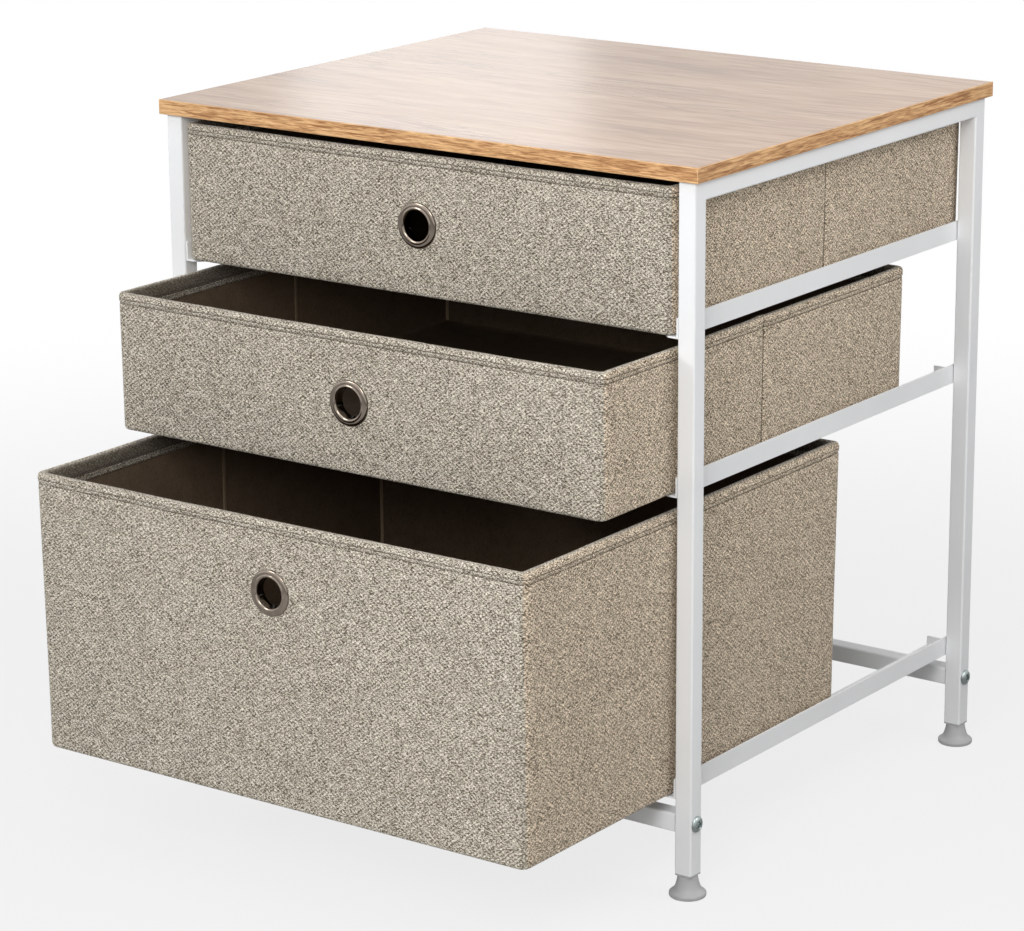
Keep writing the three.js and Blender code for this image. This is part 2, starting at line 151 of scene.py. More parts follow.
class DrawerSettings(PropertyGroup):
    pitch: length("Mesh pitch", "Distance between the rows and columns of the fabric's mesh", 5.5)
    corner: length("Corner", "Radius of a drawer's upright corners", 7.5)
    cloth: length("Cloth", "Thickness of the outer fabric", 1)
    hem: length("Hem", "Depth of the hem that is turned down inside", 11)
    lining_inset: length("Lining inset", "From the outer face to the back of the lining", 4.6)
    lining: length("Lining", "Thickness of the lining", 0.8)
    binding: length("Binding", "Height of the binding strip under the hem", 5)
    bulge: length("Bulge", "How far a panel swells outwards at its middle", 1)
    splay: length("Splay", "How far the deep drawer's rim spreads to each side", 2.6)
    ripple: length("Ripple", "Height of the slow waves in the fabric", 0.45)
    stop_clear: length("Stop clearance", "How high a rear panel stays flat, for the stops", 11)
    stitch_pitch: length("Stitch pitch", "From one stitch to the next", 3.1)
    stitch_length: length("Stitch length", "Length of one stitch", 2.2)
    thread: length("Thread", "Thickness of the sewing thread", 0.65)
    warp: length("Warp", "Pitch of the upright yarns in the weave", 2.15)
    weft: length("Weft", "Pitch of the level yarns in the weave", 1.75)
    fleck: length("Fleck", "Height of the short flecks of colour in the yarns", 0.42)
    side_at: length("Side", "From the dresser's middle to where a drawer's sides begin", 231.5)
    fleck_dark: colour("Dark fleck", "Darkest yarns", 71, 62, 48)
    fleck_shade: colour("Shaded fleck", "Darker yarns", 128, 118, 101)
    fleck_middle: colour("Fabric", "Main tone of the fabric", 176, 167, 152)
    fleck_light: colour("Light fleck", "Lighter yarns", 208, 199, 184)
    fleck_bright: colour("Bright fleck", "Lightest yarns", 242, 236, 223)
    corner_tape: length("Corner tape", "Width of the tapes in a drawer's corners", 2.8)
    fold_tape: length("Side tape", "Width of the tapes up the folds of a drawer's sides", 3.6)
    tape: length("Tape", "Thickness of the tapes", 1.3)
    tape_round: length("Tape edge", "Radius of the tapes' edges", 0.5)
    # Painted light: this gain makes the drawers' sides lighter than their fronts, standing in for the light
    # that falls on them
    side_painted_light: FloatVectorProperty(
        name="Side gain",
        description="How much lighter the sides are, where the weft shows",
        default=(1.2, 1.1, 1.0),
    )
    thread_tone: colour("Thread tone", "Colour of the stitching", 78, 66, 50)
    lining_tone: colour("Lining tone", "Main colour of the lining", 107, 90, 73)
    lining_light: colour("Lining light", "Lighter fibres of the lining", 112, 97, 80)
    fold_tape_tone: colour("Fold tape", "Tape up the fold in the middle of each side", 140, 121, 99)
    # The corner tapes are bound seams, and their pale tone also paints the light that comes in through the
    # corners
    tape_tone: colour("Seam tape", "Colour of the bound seams inside", 176, 156, 128)
    board_tone: colour("Fibreboard", "Main colour of the stiffening boards", 154, 127, 96)


class EyeletSettings(PropertyGroup):
    bore: length("Bore", "Inner radius of an eyelet", 11.6)
    rim: length("Rim", "Outer radius of an eyelet", 18.2)
    crown: length("Crown", "Height of an eyelet's dome over the fabric", 2.8)
    drop: length("Drop", "From a drawer's rim down to its eyelet's middle", 56)
    hole: length("Hole", "Radius of the hole in the fabric", 14)
    steps: IntProperty(name="Steps", description="Facets round an eyelet", default=72, min=12)
    metal: colour("Metal", "Warm nickel of the eyelets", 168, 155, 142)
    roughness: share("Roughness", "Roughness of the eyelets", 0.13)


class StageSettings(PropertyGroup):
    camera_place: FloatVectorProperty(
        name="Camera",
        description="Where the camera stands",
        default=(1.6797, -2.3261, 1.0834),
        subtype="TRANSLATION",
    )
    camera_turn: FloatVectorProperty(
        name="Camera turn",
        description="Tilt up from straight down, roll, and turn from +Y towards -X",
        default=[math.radians(a) for a in (90 - 15.698, -0.371, 35.887)],
        subtype="EULER",
    )
    lens: FloatProperty(name="Lens", description="Focal length", default=129.15, min=1, unit="CAMERA")
    floor_half: length("Floor", "Half the side of the floor", 20000)
    floor: colour("Floor", "Pale floor", 188, 188, 188)
    floor_glow: share("Floor white", "How white the floor by the dresser is for the camera", 0.8)
    floor_near: length("Shadow floor", "Radius of the floor that keeps the shadow in full", 600)
    floor_far: length("White floor", "Radius from which the floor is plain white for the camera", 1800)
    ambient: share("Ambient", "Light from all round", 0.37, 2.0)
    key_power: power("Key", "Power of the left light", 54)
    near_power: power("Near", "Power of the light in front, to the right", 12.5)
    side_power: power("Side", "Power of the right light", 2.8)
    top_power: power("Top", "Power of the top light", 10)
    gloss_power: power("Gloss", "Power of the rear light, which the board reflects", 0.68)
    glint_power: power("Glint", "Power of each light that only glints on metal and paint", 9)


# Finishes


class Value:
    """A socket of a node tree. Reckoning with it adds the tree's own Math nodes."""

    def __init__(self, finish, socket):
        self.finish = finish
        self.socket = socket

    def math(self, operation, *others):
        return self.finish.add("ShaderNodeMath", {"operation": operation}, dict(enumerate((self, *others))))

    def reversed_math(self, operation, other):
        return self.finish.add("ShaderNodeMath", {"operation": operation}, {0: other, 1: self})

    def __add__(self, other):
        return self.math("ADD", other)

    def __sub__(self, other):
        return self.math("SUBTRACT", other)

    def __mul__(self, other):
        return self.math("MULTIPLY", other)

    def __truediv__(self, other):
        return self.math("DIVIDE", other)

    def __mod__(self, other):
        return self.math("FLOORED_MODULO", other)

    def __rsub__(self, other):
        return self.reversed_math("SUBTRACT", other)

    def __rtruediv__(self, other):
        return self.reversed_math("DIVIDE", other)

    __radd__ = __add__
    __rmul__ = __mul__

    def other(self, name):
        """Another output of the same node."""
        return Value(self.finish, self.socket.node.outputs[name])

    def between(self, low, high):
        """0 below low, 1 above high, and in between it rises smoothly."""
        inputs = {"Value": self, "From Min": low, "From Max": high}
        return self.finish.add("ShaderNodeMapRange", {"interpolation_type": "SMOOTHSTEP"}, inputs)


class Finish:
    """A node tree of a material or a world, and the nodes that are put in it."""

    def __init__(self, owner):
        owner.use_nodes = True
        self.owner = owner
        self.tree = owner.node_tree
        self.tree.nodes.clear()

    def add(self, kind, settings=None, inputs=None, output=0):
        """Adds a node, sets it up, and fills its sockets with values or links.

        Gives the output that is asked for by its number or its name.
        """
        node = self.tree.nodes.new(kind)
        for name, setting in (settings or {}).items():
            if name == "stops":
                self._set_stops(node.color_ramp, setting)
            else:
                setattr(node, name, setting)
        for key, given in (inputs or {}).items():
            socket = self._input(node, key)
            if isinstance(given, Value):
                self.tree.links.new(given.socket, socket)
            else:
                socket.default_value = given
        if not node.outputs:
            return node
        found = [s for s in node.outputs if s.identifier == output]
        return Value(self, found[0] if found else node.outputs[output])

    @staticmethod
    def _input(node, key):
        found = [s for s in node.inputs if s.identifier == key]
        return found[0] if found else node.inputs[key]

    @staticmethod
    def _set_stops(ramp, stops):
        while len(ramp.elements) < len(stops):
            ramp.elements.new(1)
        for element, (position, stop_colour) in zip(ramp.elements, stops):
            element.position = position
            element.color = (*stop_colour, 1)

    def place(self, scale=(1, 1, 1)):
        """Object coordinates, scaled along each axis."""
        coordinates = self.add("ShaderNodeTexCoord", output="Object")
        inputs = {"Vector": coordinates, "Scale": scale}
        return self.add("ShaderNodeMapping", {"vector_type": "POINT"}, inputs)

    def noise(self, vector, scale, detail, roughness, distortion=0.0):
        inputs = {"Vector": vector, "Scale": scale, "Detail": detail}
        inputs.update({"Roughness": roughness, "Distortion": distortion})
        return self.add("ShaderNodeTexNoise", None, inputs)

    def chance(self, vector):
        """A number between 0 and 1 for each whole-numbered place."""
        return self.add("ShaderNodeTexWhiteNoise", {"noise_dimensions": "2D"}, {"Vector": vector}, "Value")

    def ramp(self, factor, stops):
        return self.add("ShaderNodeValToRGB", {"stops": stops}, {0: factor})

    def mix(self, factor, first, second, blend="MIX"):
        """One colour into another."""
        inputs = {"Factor_Float": factor, "A_Color": self._flat(first), "B_Color": self._flat(second)}
        settings = {"data_type": "RGBA", "blend_type": blend}
        return self.add("ShaderNodeMix", settings, inputs, "Result_Color")

    @staticmethod
    def _flat(given):
        return given if isinstance(given, Value) else (*given, 1)

    def clouded(self, cloud, tone, darkest, low=0.3):
        """A tone that is darker where the cloud is thin."""
        return self.mix(cloud.between(low, 0.7), [c * darkest for c in tone], tone)

    def split(self, vector):
        first = self.add("ShaderNodeSeparateXYZ", None, {0: vector})
        return first, first.other("Y"), first.other("Z")

    def joined(self, *parts):
        return self.add("ShaderNodeCombineXYZ", None, dict(enumerate(parts)))

    def bump(self, height, distance, strength):
        inputs = {"Height": height, "Distance": distance, "Strength": strength}
        return self.add("ShaderNodeBump", None, inputs)

    def surface(self, **sockets):
        """The shader itself. Words of a socket's name are joined by underscores."""
        names = [name.replace("_", " ").title().replace("Ior", "IOR") for name in sockets]
        inputs = dict(zip(names, sockets.values()))
        shader = self.add("ShaderNodeBsdfPrincipled", None, inputs)
        self.add("ShaderNodeOutputMaterial", None, {"Surface": shader})
        return self.owner


def new_finish(name):
    """An empty node tree in a new material."""
    return Finish(bpy.data.materials.new(name))


def made_finish(name, make, *settings):
    """The material of that name, made the first time that it is asked for."""
    return bpy.data.materials.get(name) or make(new_finish(name), *settings)


def powder_coat(finish, s):
    """White powder coat: a soft orange peel, and a faint drift in its gloss."""
    peel = finish.noise(finish.place(), 950, 1.5, 0.5)
    drift = finish.noise(finish.place(), 14, 2, 0.5)
    tone = finish.clouded(drift, s.coat, 0.97, 0.35)
    normal = finish.bump(peel, 0.00012, 0.35)
    roughness = s.coat_roughness - 0.04 + drift * 0.09
    return finish.surface(base_color=tone, roughness=roughness, normal=normal)


def zinc_plate(finish, s):
    """Bright zinc with a faint blue cast, scuffed by its tumbling."""
    scuff = finish.noise(finish.place(), 1400, 3, 0.6)
    cloud = finish.noise(finish.place(), 160, 2, 0.5)
    tone = finish.clouded(cloud, s.zinc, 0.8)
    normal = finish.bump(scuff, 0.00003, 0.5)
    return finish.surface(base_color=tone, metallic=1.0, roughness=0.24 + scuff * 0.16, normal=normal)


def moulded_plastic(finish, tone):
    """Moulded plastic with a fine spark-eroded grain."""
    grain = finish.noise(finish.place(), 1700, 2, 0.6)
    cloud = finish.noise(finish.place(), 60, 2, 0.5)
    shade = finish.clouded(cloud, tone, 0.9)
    normal = finish.bump(grain, 0.00005, 0.5)
    return finish.surface(base_color=shade, roughness=0.42 + grain * 0.14, normal=normal)


def printed_oak(finish, s):
    """Oak laminate, its grain along X: slow figure, fine lines, pores, and a few knots and cracks."""
    bend = finish.noise(finish.place((2.2, 5, 1)), 1, 2, 0.5)
    across, along, _ = finish.split(finish.place())
    wobble = finish.noise(finish.place((12, 26, 1)), 1, 2, 0.5)
    wavy = along + bend * 0.07 + wobble * 0.008
    figure = finish.noise(finish.joined(across * 3, wavy * 20, 0), 1, 3, 0.6, 0.9)
    lines = finish.noise(finish.joined(across * 18, wavy * 210, 0), 1, 4, 0.62)
    pores = finish.noise(finish.joined(across * 42, wavy * 700, 0), 1, 2, 0.5)
    bands = finish.noise(finish.joined(across * 8, wavy * 58, 3), 1, 2, 0.5, 1.1)
    tone = figure * 0.46 + bands * 0.3 + lines * 0.24
    base = finish.ramp(tone, [(0.36, s.dark), (0.48, s.middle), (0.61, s.pale)])
    combed = finish.mix(lines.between(0.36, 0.5) * -0.16 + 0.16, base, s.dark)
    pored = finish.mix(pores.between(0.3, 0.42) * -0.3 + 0.3, combed, s.dark)
    rare = finish.noise(finish.joined(across * 3.2, wavy * 9, 5), 1, 1, 0.5)
    veins = finish.noise(finish.joined(across * 3.6, wavy * 27, 8), 1, 3, 0.55, 1.0)
    vein = (1 - (veins - 0.5).math("ABSOLUTE").between(0.0, 0.03)) * rare.between(0.46, 0.6)
    veined = finish.mix(vein * 0.32, pored, s.knot)
    cracks = finish.noise(finish.joined(across * 10, wavy * 75, 8), 1, 4, 0.7, 1.2)
    crack = (1 - (cracks - 0.5).math("ABSOLUTE").between(0.0, 0.02)) * rare.between(0.58, 0.7)
    cracked = finish.mix(crack * 0.6, veined, s.knot)
    spots = finish.add(
        "ShaderNodeTexVoronoi",
        {"feature": "F1"},
        {"Vector": finish.joined(across * 5.5, wavy * 9, 0), "Scale": 1.0, "Randomness": 1.0},
    )
    chosen = finish.add("ShaderNodeSeparateXYZ", None, {0: spots.other("Color")}).between(0.6, 0.62)
    knot = (1 - spots.between(0.008, 0.05)) * chosen
    knotted = finish.mix(knot * 0.7, cracked, s.knot)
    normal = finish.bump(lines * 0.7 + pores * 0.3, 0.00004, 0.35)
    return finish.surface(base_color=knotted, roughness=s.gloss + figure * 0.08, normal=normal)


def edge_oak(finish, s, along):
    """Golden oak edge strip, its streaks along the given axis and a pale highlight painted along its
    rounded edges.
    """
    scale = {"x": (52, 40, 760), "y": (40, 44, 760)}[along]
    slow = {"x": (14, 20, 190), "y": (20, 14, 190)}[along]
    warp = finish.noise(finish.place([c * 0.5 for c in slow]), 1, 1, 0.5)
    streaks = finish.noise(finish.place(scale), 1, 3, 0.6, 0.8)
    bands = finish.noise(finish.place(slow), 1, 2, 0.5, 1.6)
    fine = finish.noise(finish.place([c * 3 for c in scale]), 1, 2, 0.5)
    tone = streaks * 0.6 + bands * 0.22 + fine * 0.12 + warp * 0.06
    grained = finish.ramp(tone, [(0.41, s.edge_dark), (0.5, s.edge_middle), (0.59, s.edge_pale)])
    # Painted highlight: where the normal leans away from every axis, on the rounded edges, the tone is
    # paled towards the lightest oak
    facing = finish.split(finish.add("ShaderNodeTexCoord", output="Normal"))
    squarest = facing[0].math("ABSOLUTE")
    for part in facing[1:]:
        squarest = squarest.math("MAXIMUM", part.math("ABSOLUTE"))
    base = finish.mix(0.7 - squarest.between(0.85, 0.99) * 0.7, grained, s.edge_pale)
    normal = finish.bump(streaks, 0.00005, 0.4)
    return finish.surface(base_color=base, roughness=0.4 + bands * 0.15, normal=normal)


def heather_weave(finish, s):
    """Plain weave of mixed yarns, with short flecks of colour in them and slubs drifting through."""
    weave = finish.add("ShaderNodeUVMap", {"uv_map": WEAVE_UV})
    across, along, _ = finish.split(weave)
    column, row = across / s.warp, along / s.weft
    over = (column.math("FLOOR") + row.math("FLOOR")) % 2
    own = finish.chance(finish.joined(column.math("FLOOR"), row.math("FLOOR"), 0))
    fleck_length = s.fleck * 2.4
    fleck_row = (along / s.fleck).math("FLOOR")
    fleck_column = (across / fleck_length + (fleck_row % 2) * 0.5).math("FLOOR")
    fleck = finish.chance(finish.joined(fleck_column, fleck_row, 0))
    slub = finish.noise(finish.joined(across * 800, along * 2100, 0), 1, 1, 0.5, 1.1)
    drift = finish.noise(finish.place(), 26, 2, 0.5)
    tone = fleck * 0.56 + slub * 0.45 + own * 0.06 + over * 0.12 - 0.12 + (drift - 0.5) * 0.05
    stops = [(0.24, s.fleck_dark), (0.39, s.fleck_shade), (0.5, s.fleck_middle)]
    stops += [(0.61, s.fleck_light), (0.78, s.fleck_bright)]
    facing = finish.ramp(tone, stops)
    outwards, _, _ = finish.split(finish.place())
    # Painted light: past side_at the fabric's tone is multiplied by the side gain, so the sides look more
    # lit
    side = outwards.math("ABSOLUTE").between(s.side_at, s.side_at + MM)
    side_lit = finish.mix(side, facing, finish.mix(1.0, facing, s.side_painted_light, "MULTIPLY"))
    # Painted shade: the fold attribute darkens the creases, hem grooves, flap and binding towards the
    # darkest yarn, and along a sewn fold it paints faint shade with darker dashes for its stitches
    painted_shade = finish.add("ShaderNodeAttribute", {"attribute_name": PAINTED_SHADE}, None, "Fac")
    dash = ((across + along) / s.stitch_pitch).math("PINGPONG", 0.5).between(0.18, 0.28)
    sewn = painted_shade.between(1.2, 1.8)
    dark = painted_shade.math("MINIMUM", 1) * 0.8 * (1 - sewn * (0.95 - dash * 0.45))
    base = finish.mix(dark, side_lit, s.fleck_dark)
    warp_crown = 1 - (column.math("FRACT") - 0.5).math("POWER", 2) * 4
    weft_crown = 1 - (row.math("FRACT") - 0.5).math("POWER", 2) * 4
    warp_float = warp_crown * (weft_crown * 0.6 + 0.4)
    weft_float = weft_crown * (warp_crown * 0.6 + 0.4)
    height = warp_float * over + weft_float * (1 - over) + slub * 0.4
    # Painted shade: the gaps between the yarns are darkened towards the darkest yarn
    gap = height.between(0.2, 0.6)
    gap_shaded = finish.mix(gap * -0.14 + 0.14, base, s.fleck_dark)
    normal = finish.bump(height, s.weft * 0.12, 0.5)
    return finish.surface(
        base_color=gap_shaded,
        roughness=0.86 + fleck * 0.1,
        normal=normal,
        specular_ior_level=0.25,
        sheen_weight=0.12,
        sheen_roughness=0.5,
    )


def felted_lining(finish, s):
    """Spun-bonded lining: matted fibres pressed with a grid of small dots."""
    fibres = finish.noise(finish.place((900, 900, 500)), 1, 3, 0.6, 1.5)
    mottle = finish.noise(finish.place(), 90, 2, 0.5)
    grid = {"Vector": finish.place(), "Scale": 520.0, "Randomness": 0.2}
    dots = finish.add("ShaderNodeTexVoronoi", {"feature": "F1"}, grid)
    tone = fibres * 0.8 + mottle * 0.2
    stops = [(0.35, [c * 0.6 for c in s.lining_tone]), (0.52, s.lining_tone), (0.7, s.lining_light)]
    base = finish.ramp(tone, stops)
    normal = finish.bump(fibres * 0.4 + dots.between(0.1, 0.5) * 0.6, 0.0002, 0.6)
    roughness = 0.9 + fibres * 0.08
    return finish.surface(base_color=base, roughness=roughness, normal=normal, specular_ior_level=0.2)


def twisted_thread(finish, tone):
    """Sewing thread with its ply."""
    ply = finish.noise(finish.place(), 2600, 2, 0.6)
    base = finish.clouded(ply, tone, 0.6)
    normal = finish.bump(ply, 0.0001, 0.6)
    return finish.surface(base_color=base, roughness=0.7 + ply * 0.2, normal=normal)


def pressed_fibreboard(finish, s):
    """Brown fibreboard with its pressed fibres."""
    fibres = finish.noise(finish.place((260, 260, 700)), 1, 4, 0.65, 1.2)
    specks = finish.noise(finish.place(), 800, 2, 0.5)
    tone = s.board_tone
    pale = [min(1, c * 1.35) for c in tone]
    stops = [(0.3, [c * 0.6 for c in tone]), (0.52, tone), (0.75, pale)]
    base = finish.ramp(fibres * 0.7 + specks * 0.3, stops)
    normal = finish.bump(fibres, 0.0001, 0.5)
    return finish.surface(base_color=base, roughness=0.78 + specks * 0.15, normal=normal)


def polished_nickel(finish, s):
    """Warm nickel, a little clouded and scuffed, with a dark reflection painted on the flanks of its dome.
    """
    cloud = finish.noise(finish.place(), 190, 2, 0.5)
    scuff = finish.noise(finish.place((1200, 1200, 300)), 1, 3, 0.6)
    clouded = finish.clouded(cloud, s.metal, 0.8)
    # Painted reflection: where the normal turns away from the eyelet's axis, on the dome's flanks, the
    # metal is darkened as if it reflected dark surroundings
    _, outwards, _ = finish.split(finish.add("ShaderNodeTexCoord", output="Normal"))
    flank_painted_reflection = 1 - outwards.math("ABSOLUTE").between(0.25, 0.8)
    tone = finish.mix(flank_painted_reflection * 0.7, clouded, [c * 0.2 for c in s.metal])
    normal = finish.bump(scuff, 0.00002, 0.4)
    roughness = s.roughness - 0.03 + cloud * 0.08
    return finish.surface(base_color=tone, metallic=1.0, roughness=roughness, normal=normal)


# Mesh helpers


def add_piece(bm, name, material, body, stands_for=(), sharp=35, square=False):
    """Closes the mesh's seams and turns its faces outwards, then adds it as an open piece is."""
    bmesh.ops.remove_doubles(bm, verts=bm.verts, dist=SEAM)
    bmesh.ops.recalc_face_normals(bm, faces=bm.faces)
    if bm.calc_volume(signed=True) < 0:
        bmesh.ops.reverse_faces(bm, faces=bm.faces)
    return add_open_piece(bm, name, material, body, stands_for, sharp, square)


def add_open_piece(bm, name, material, body, stands_for=(), sharp=35, square=False):
    """Makes the mesh an object that rides on its body, and hides the nodes that it stands for.

    Edges stay sharp where faces meet at more than sharp degrees, and everywhere where it is 0.
    A square piece's plain faces stay flat.
    """
    mesh = bpy.data.meshes.new(name)
    bm.to_mesh(mesh)
    bm.free()
    if sharp:
        mesh.shade_smooth()
        mesh.set_sharp_from_angle(angle=math.radians(sharp))
    if square:
        for face in mesh.polygons:
            face.use_smooth = max(abs(part) for part in face.normal) < SQUARE
    mesh.materials.append(material)
    piece = bpy.data.objects.new(name, mesh)
    bpy.context.scene.collection.objects.link(piece)
    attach(piece, body)
    if stands_for:
        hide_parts(*stands_for)
    return piece


def add_thickness(piece, thickness):
    """Thickens a skin inwards, behind its faces."""
    modifier = piece.modifiers.new("thickness", "SOLIDIFY")
    modifier.thickness = thickness
    modifier.offset = -1
    modifier.use_even_offset = True


def add_rounding(piece, width):
    """Rounds the edges at which faces meet at more than 40 degrees."""
    modifier = piece.modifiers.new("rounding", "BEVEL")
    modifier.width = width
    modifier.segments = 2
    modifier.limit_method = "ANGLE"
    modifier.angle_limit = math.radians(40)
    modifier.harden_normals = True


def add_block(bm, low, high):
    """A box between two corners. Gives its vertices."""
    low, high = Vector(low), Vector(high)
    matrix = Matrix.Translation((low + high) / 2) @ Matrix.Diagonal((*(high - low), 1))
    return bmesh.ops.create_cube(bm, size=1, matrix=matrix)["verts"]


def edges_of(verts):
    return list({e for v in verts for e in v.link_edges})


def verts_in(geom):
    """The vertices among the parts that an operator made."""
    return [part for part in geom if isinstance(part, bmesh.types.BMVert)]


def edges_along(verts, axis):
    """Those edges of the vertices that run along an axis."""
    found = []
    for edge in edges_of(verts):
        run = edge.verts[1].co - edge.verts[0].co
        if abs(run[axis]) > 0.99 * run.length:
            found.append(edge)
    return found


def round_edges(bm, parts, radius, segments=3, affect="EDGES"):
    """Rounds edges or, where affect says VERTICES, the corners of a flat face."""
    bmesh.ops.bevel(
        bm, geom=parts, offset=radius, segments=segments, profile=0.5, affect=affect, material=-1
    )


def add_turned(bm, profile, steps, matrix):
    """Turns an open line of (radius, height) points about the local Z axis."""
    before = set(bm.verts)
    start = [bm.verts.new((radius, 0, height)) for radius, height in profile]
    line = [bm.edges.new(pair) for pair in zip(start, start[1:])]
    axis = {"cent": (0, 0, 0), "axis": (0, 0, 1), "angle": 2 * math.pi}
    bmesh.ops.spin(bm, geom=start + line, steps=steps, use_merge=True, **axis)
    bmesh.ops.transform(bm, matrix=matrix, verts=[v for v in bm.verts if v not in before])


# Board


class DRESSER_OT_board(Operator):
    """The laminated board and the four strips glued round its edge"""

    bl_idname = "dresser.board"
    bl_label = "Board and edge strips"

    def execute(self, context):
        s = context.scene.dresser_board
        low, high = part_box("tabletop_board")
        grown = Vector((SEAT / 2, SEAT / 2, 0))
        bm = bmesh.new()
        verts = add_block(bm, low - grown, high + grown)
        round_edges(bm, edges_of(verts), s.joint_round, 2)
        finish = made_finish("oak_print", printed_oak, s)
        add_piece(bm, "oak_board", finish, "frame", ["tabletop_board"], square=True)
        for name in [*ENDS, *SIDES]:
            self.add_strip(name, s)
        return {"FINISHED"}

    @staticmethod
    def add_strip(name, s):
        """A strip's outer edges are rounded more than those that meet the board."""
        low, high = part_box(f"edge_strip_{name}")
        across = 1 if name in ENDS else 0
        outward = {**ENDS, **SIDES}[name]
        inner = low if outward > 0 else high
        inner[across] -= outward * SEAT / 2
        if across == 0:
            low.y -= SEAT / 2
            high.y += SEAT / 2
        bm = bmesh.new()
        verts = add_block(bm, low, high)
        outer = (high if outward > 0 else low)[across]
        edges = edges_of(verts)
        outside = [e for e in edges if all(abs(v.co[across] - outer) < NEAR for v in e.verts)]
        round_edges(bm, outside, s.edge_round)
        along = "x" if name in ENDS else "y"
        finish = made_finish(f"oak_edge_{along}", edge_oak, s, along)
        add_piece(bm, f"oak_strip_{name}", finish, "frame", [f"edge_strip_{name}"], square=True)


# Frame


class DRESSER_OT_tubes(Operator):
    """The legs, side rails and cross tubes, with their weld beads"""

    bl_idname = "dresser.tubes"
    bl_label = "Square tubes"

    def execute(self, context):
        s = context.scene.dresser_frame
        for corner in CORNERS:
            self.add_tube(f"leg_{corner}", 2, Vector((0, 0, 0)), Vector((0, 0, SEAT)), s)
        for side in SIDES:
            ends = Vector((0, SEAT + s.tube_round, 0))
            self.add_tube(f"side_rail_{side}", 1, ends, ends + Vector((0, 0, SEAT)), s)
        for end in ENDS:
            ends = Vector((SEAT, 0, 0))
            self.add_tube(f"cross_tube_{end}", 0, ends, ends, s)
        self.add_welds(s)
        return {"FINISHED"}

    @staticmethod
    def add_tube(node, axis, grow_low, grow_high, s):
        """Its ends close the CAD's narrow gaps to the pieces that it meets."""
        low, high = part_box(node)
        low, high = low - grow_low, high + grow_high
        bm = bmesh.new()
        verts = add_block(bm, low, high)
        round_edges(bm, edges_along(verts, axis), s.tube_round, 6)
        ends = [f for f in bm.faces if abs(f.normal[axis]) > 0.9]
        bmesh.ops.delete(bm, geom=ends, context="FACES_ONLY")
        finish = made_finish("powder_coat", powder_coat, s)
        piece = add_piece(bm, f"coated_{node}", finish, "frame", [node], sharp=0)
        add_thickness(piece, s.tube_wall)

    @staticmethod
    def add_welds(s):
        """A bead under each end of the side rails."""
        bm = bmesh.new()
        for corner in CORNERS:
            end, side = corner.split("_")
            low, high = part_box(f"leg_{corner}")
            rail_low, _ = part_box(f"side_rail_{side}")
            y = high.y if end == "front" else low.y
            start = Vector((low.x + s.tube_round, y, rail_low.z))
            stop = Vector((high.x - s.tube_round, y, rail_low.z))
            add_bead(bm, start, stop, s.weld_radius)
        finish = made_finish("powder_coat", powder_coat, s)
        add_piece(bm, "rail_welds", finish, "frame", sharp=80)


def add_bead(bm, start, stop, radius):
    """A weld bead: a rounded rod with overlapping ripples."""
    run = stop - start
    turn = run.to_track_quat("Z", "Y").to_matrix().to_4x4()
    ripples, steps, facets = 6, 36, 12
    profile = [(0, 0)]
    for i in range(1, steps):
        along = i / steps
        ripple = 0.86 + 0.14 * abs(math.sin(math.pi * along * ripples))
        taper = min(1, min(along, 1 - along) * 9) ** 0.5
        profile.append((radius * ripple * taper, run.length * along))
    profile.append((0, run.length))
    add_turned(bm, profile, facets, Matrix.Translation(start) @ turn)


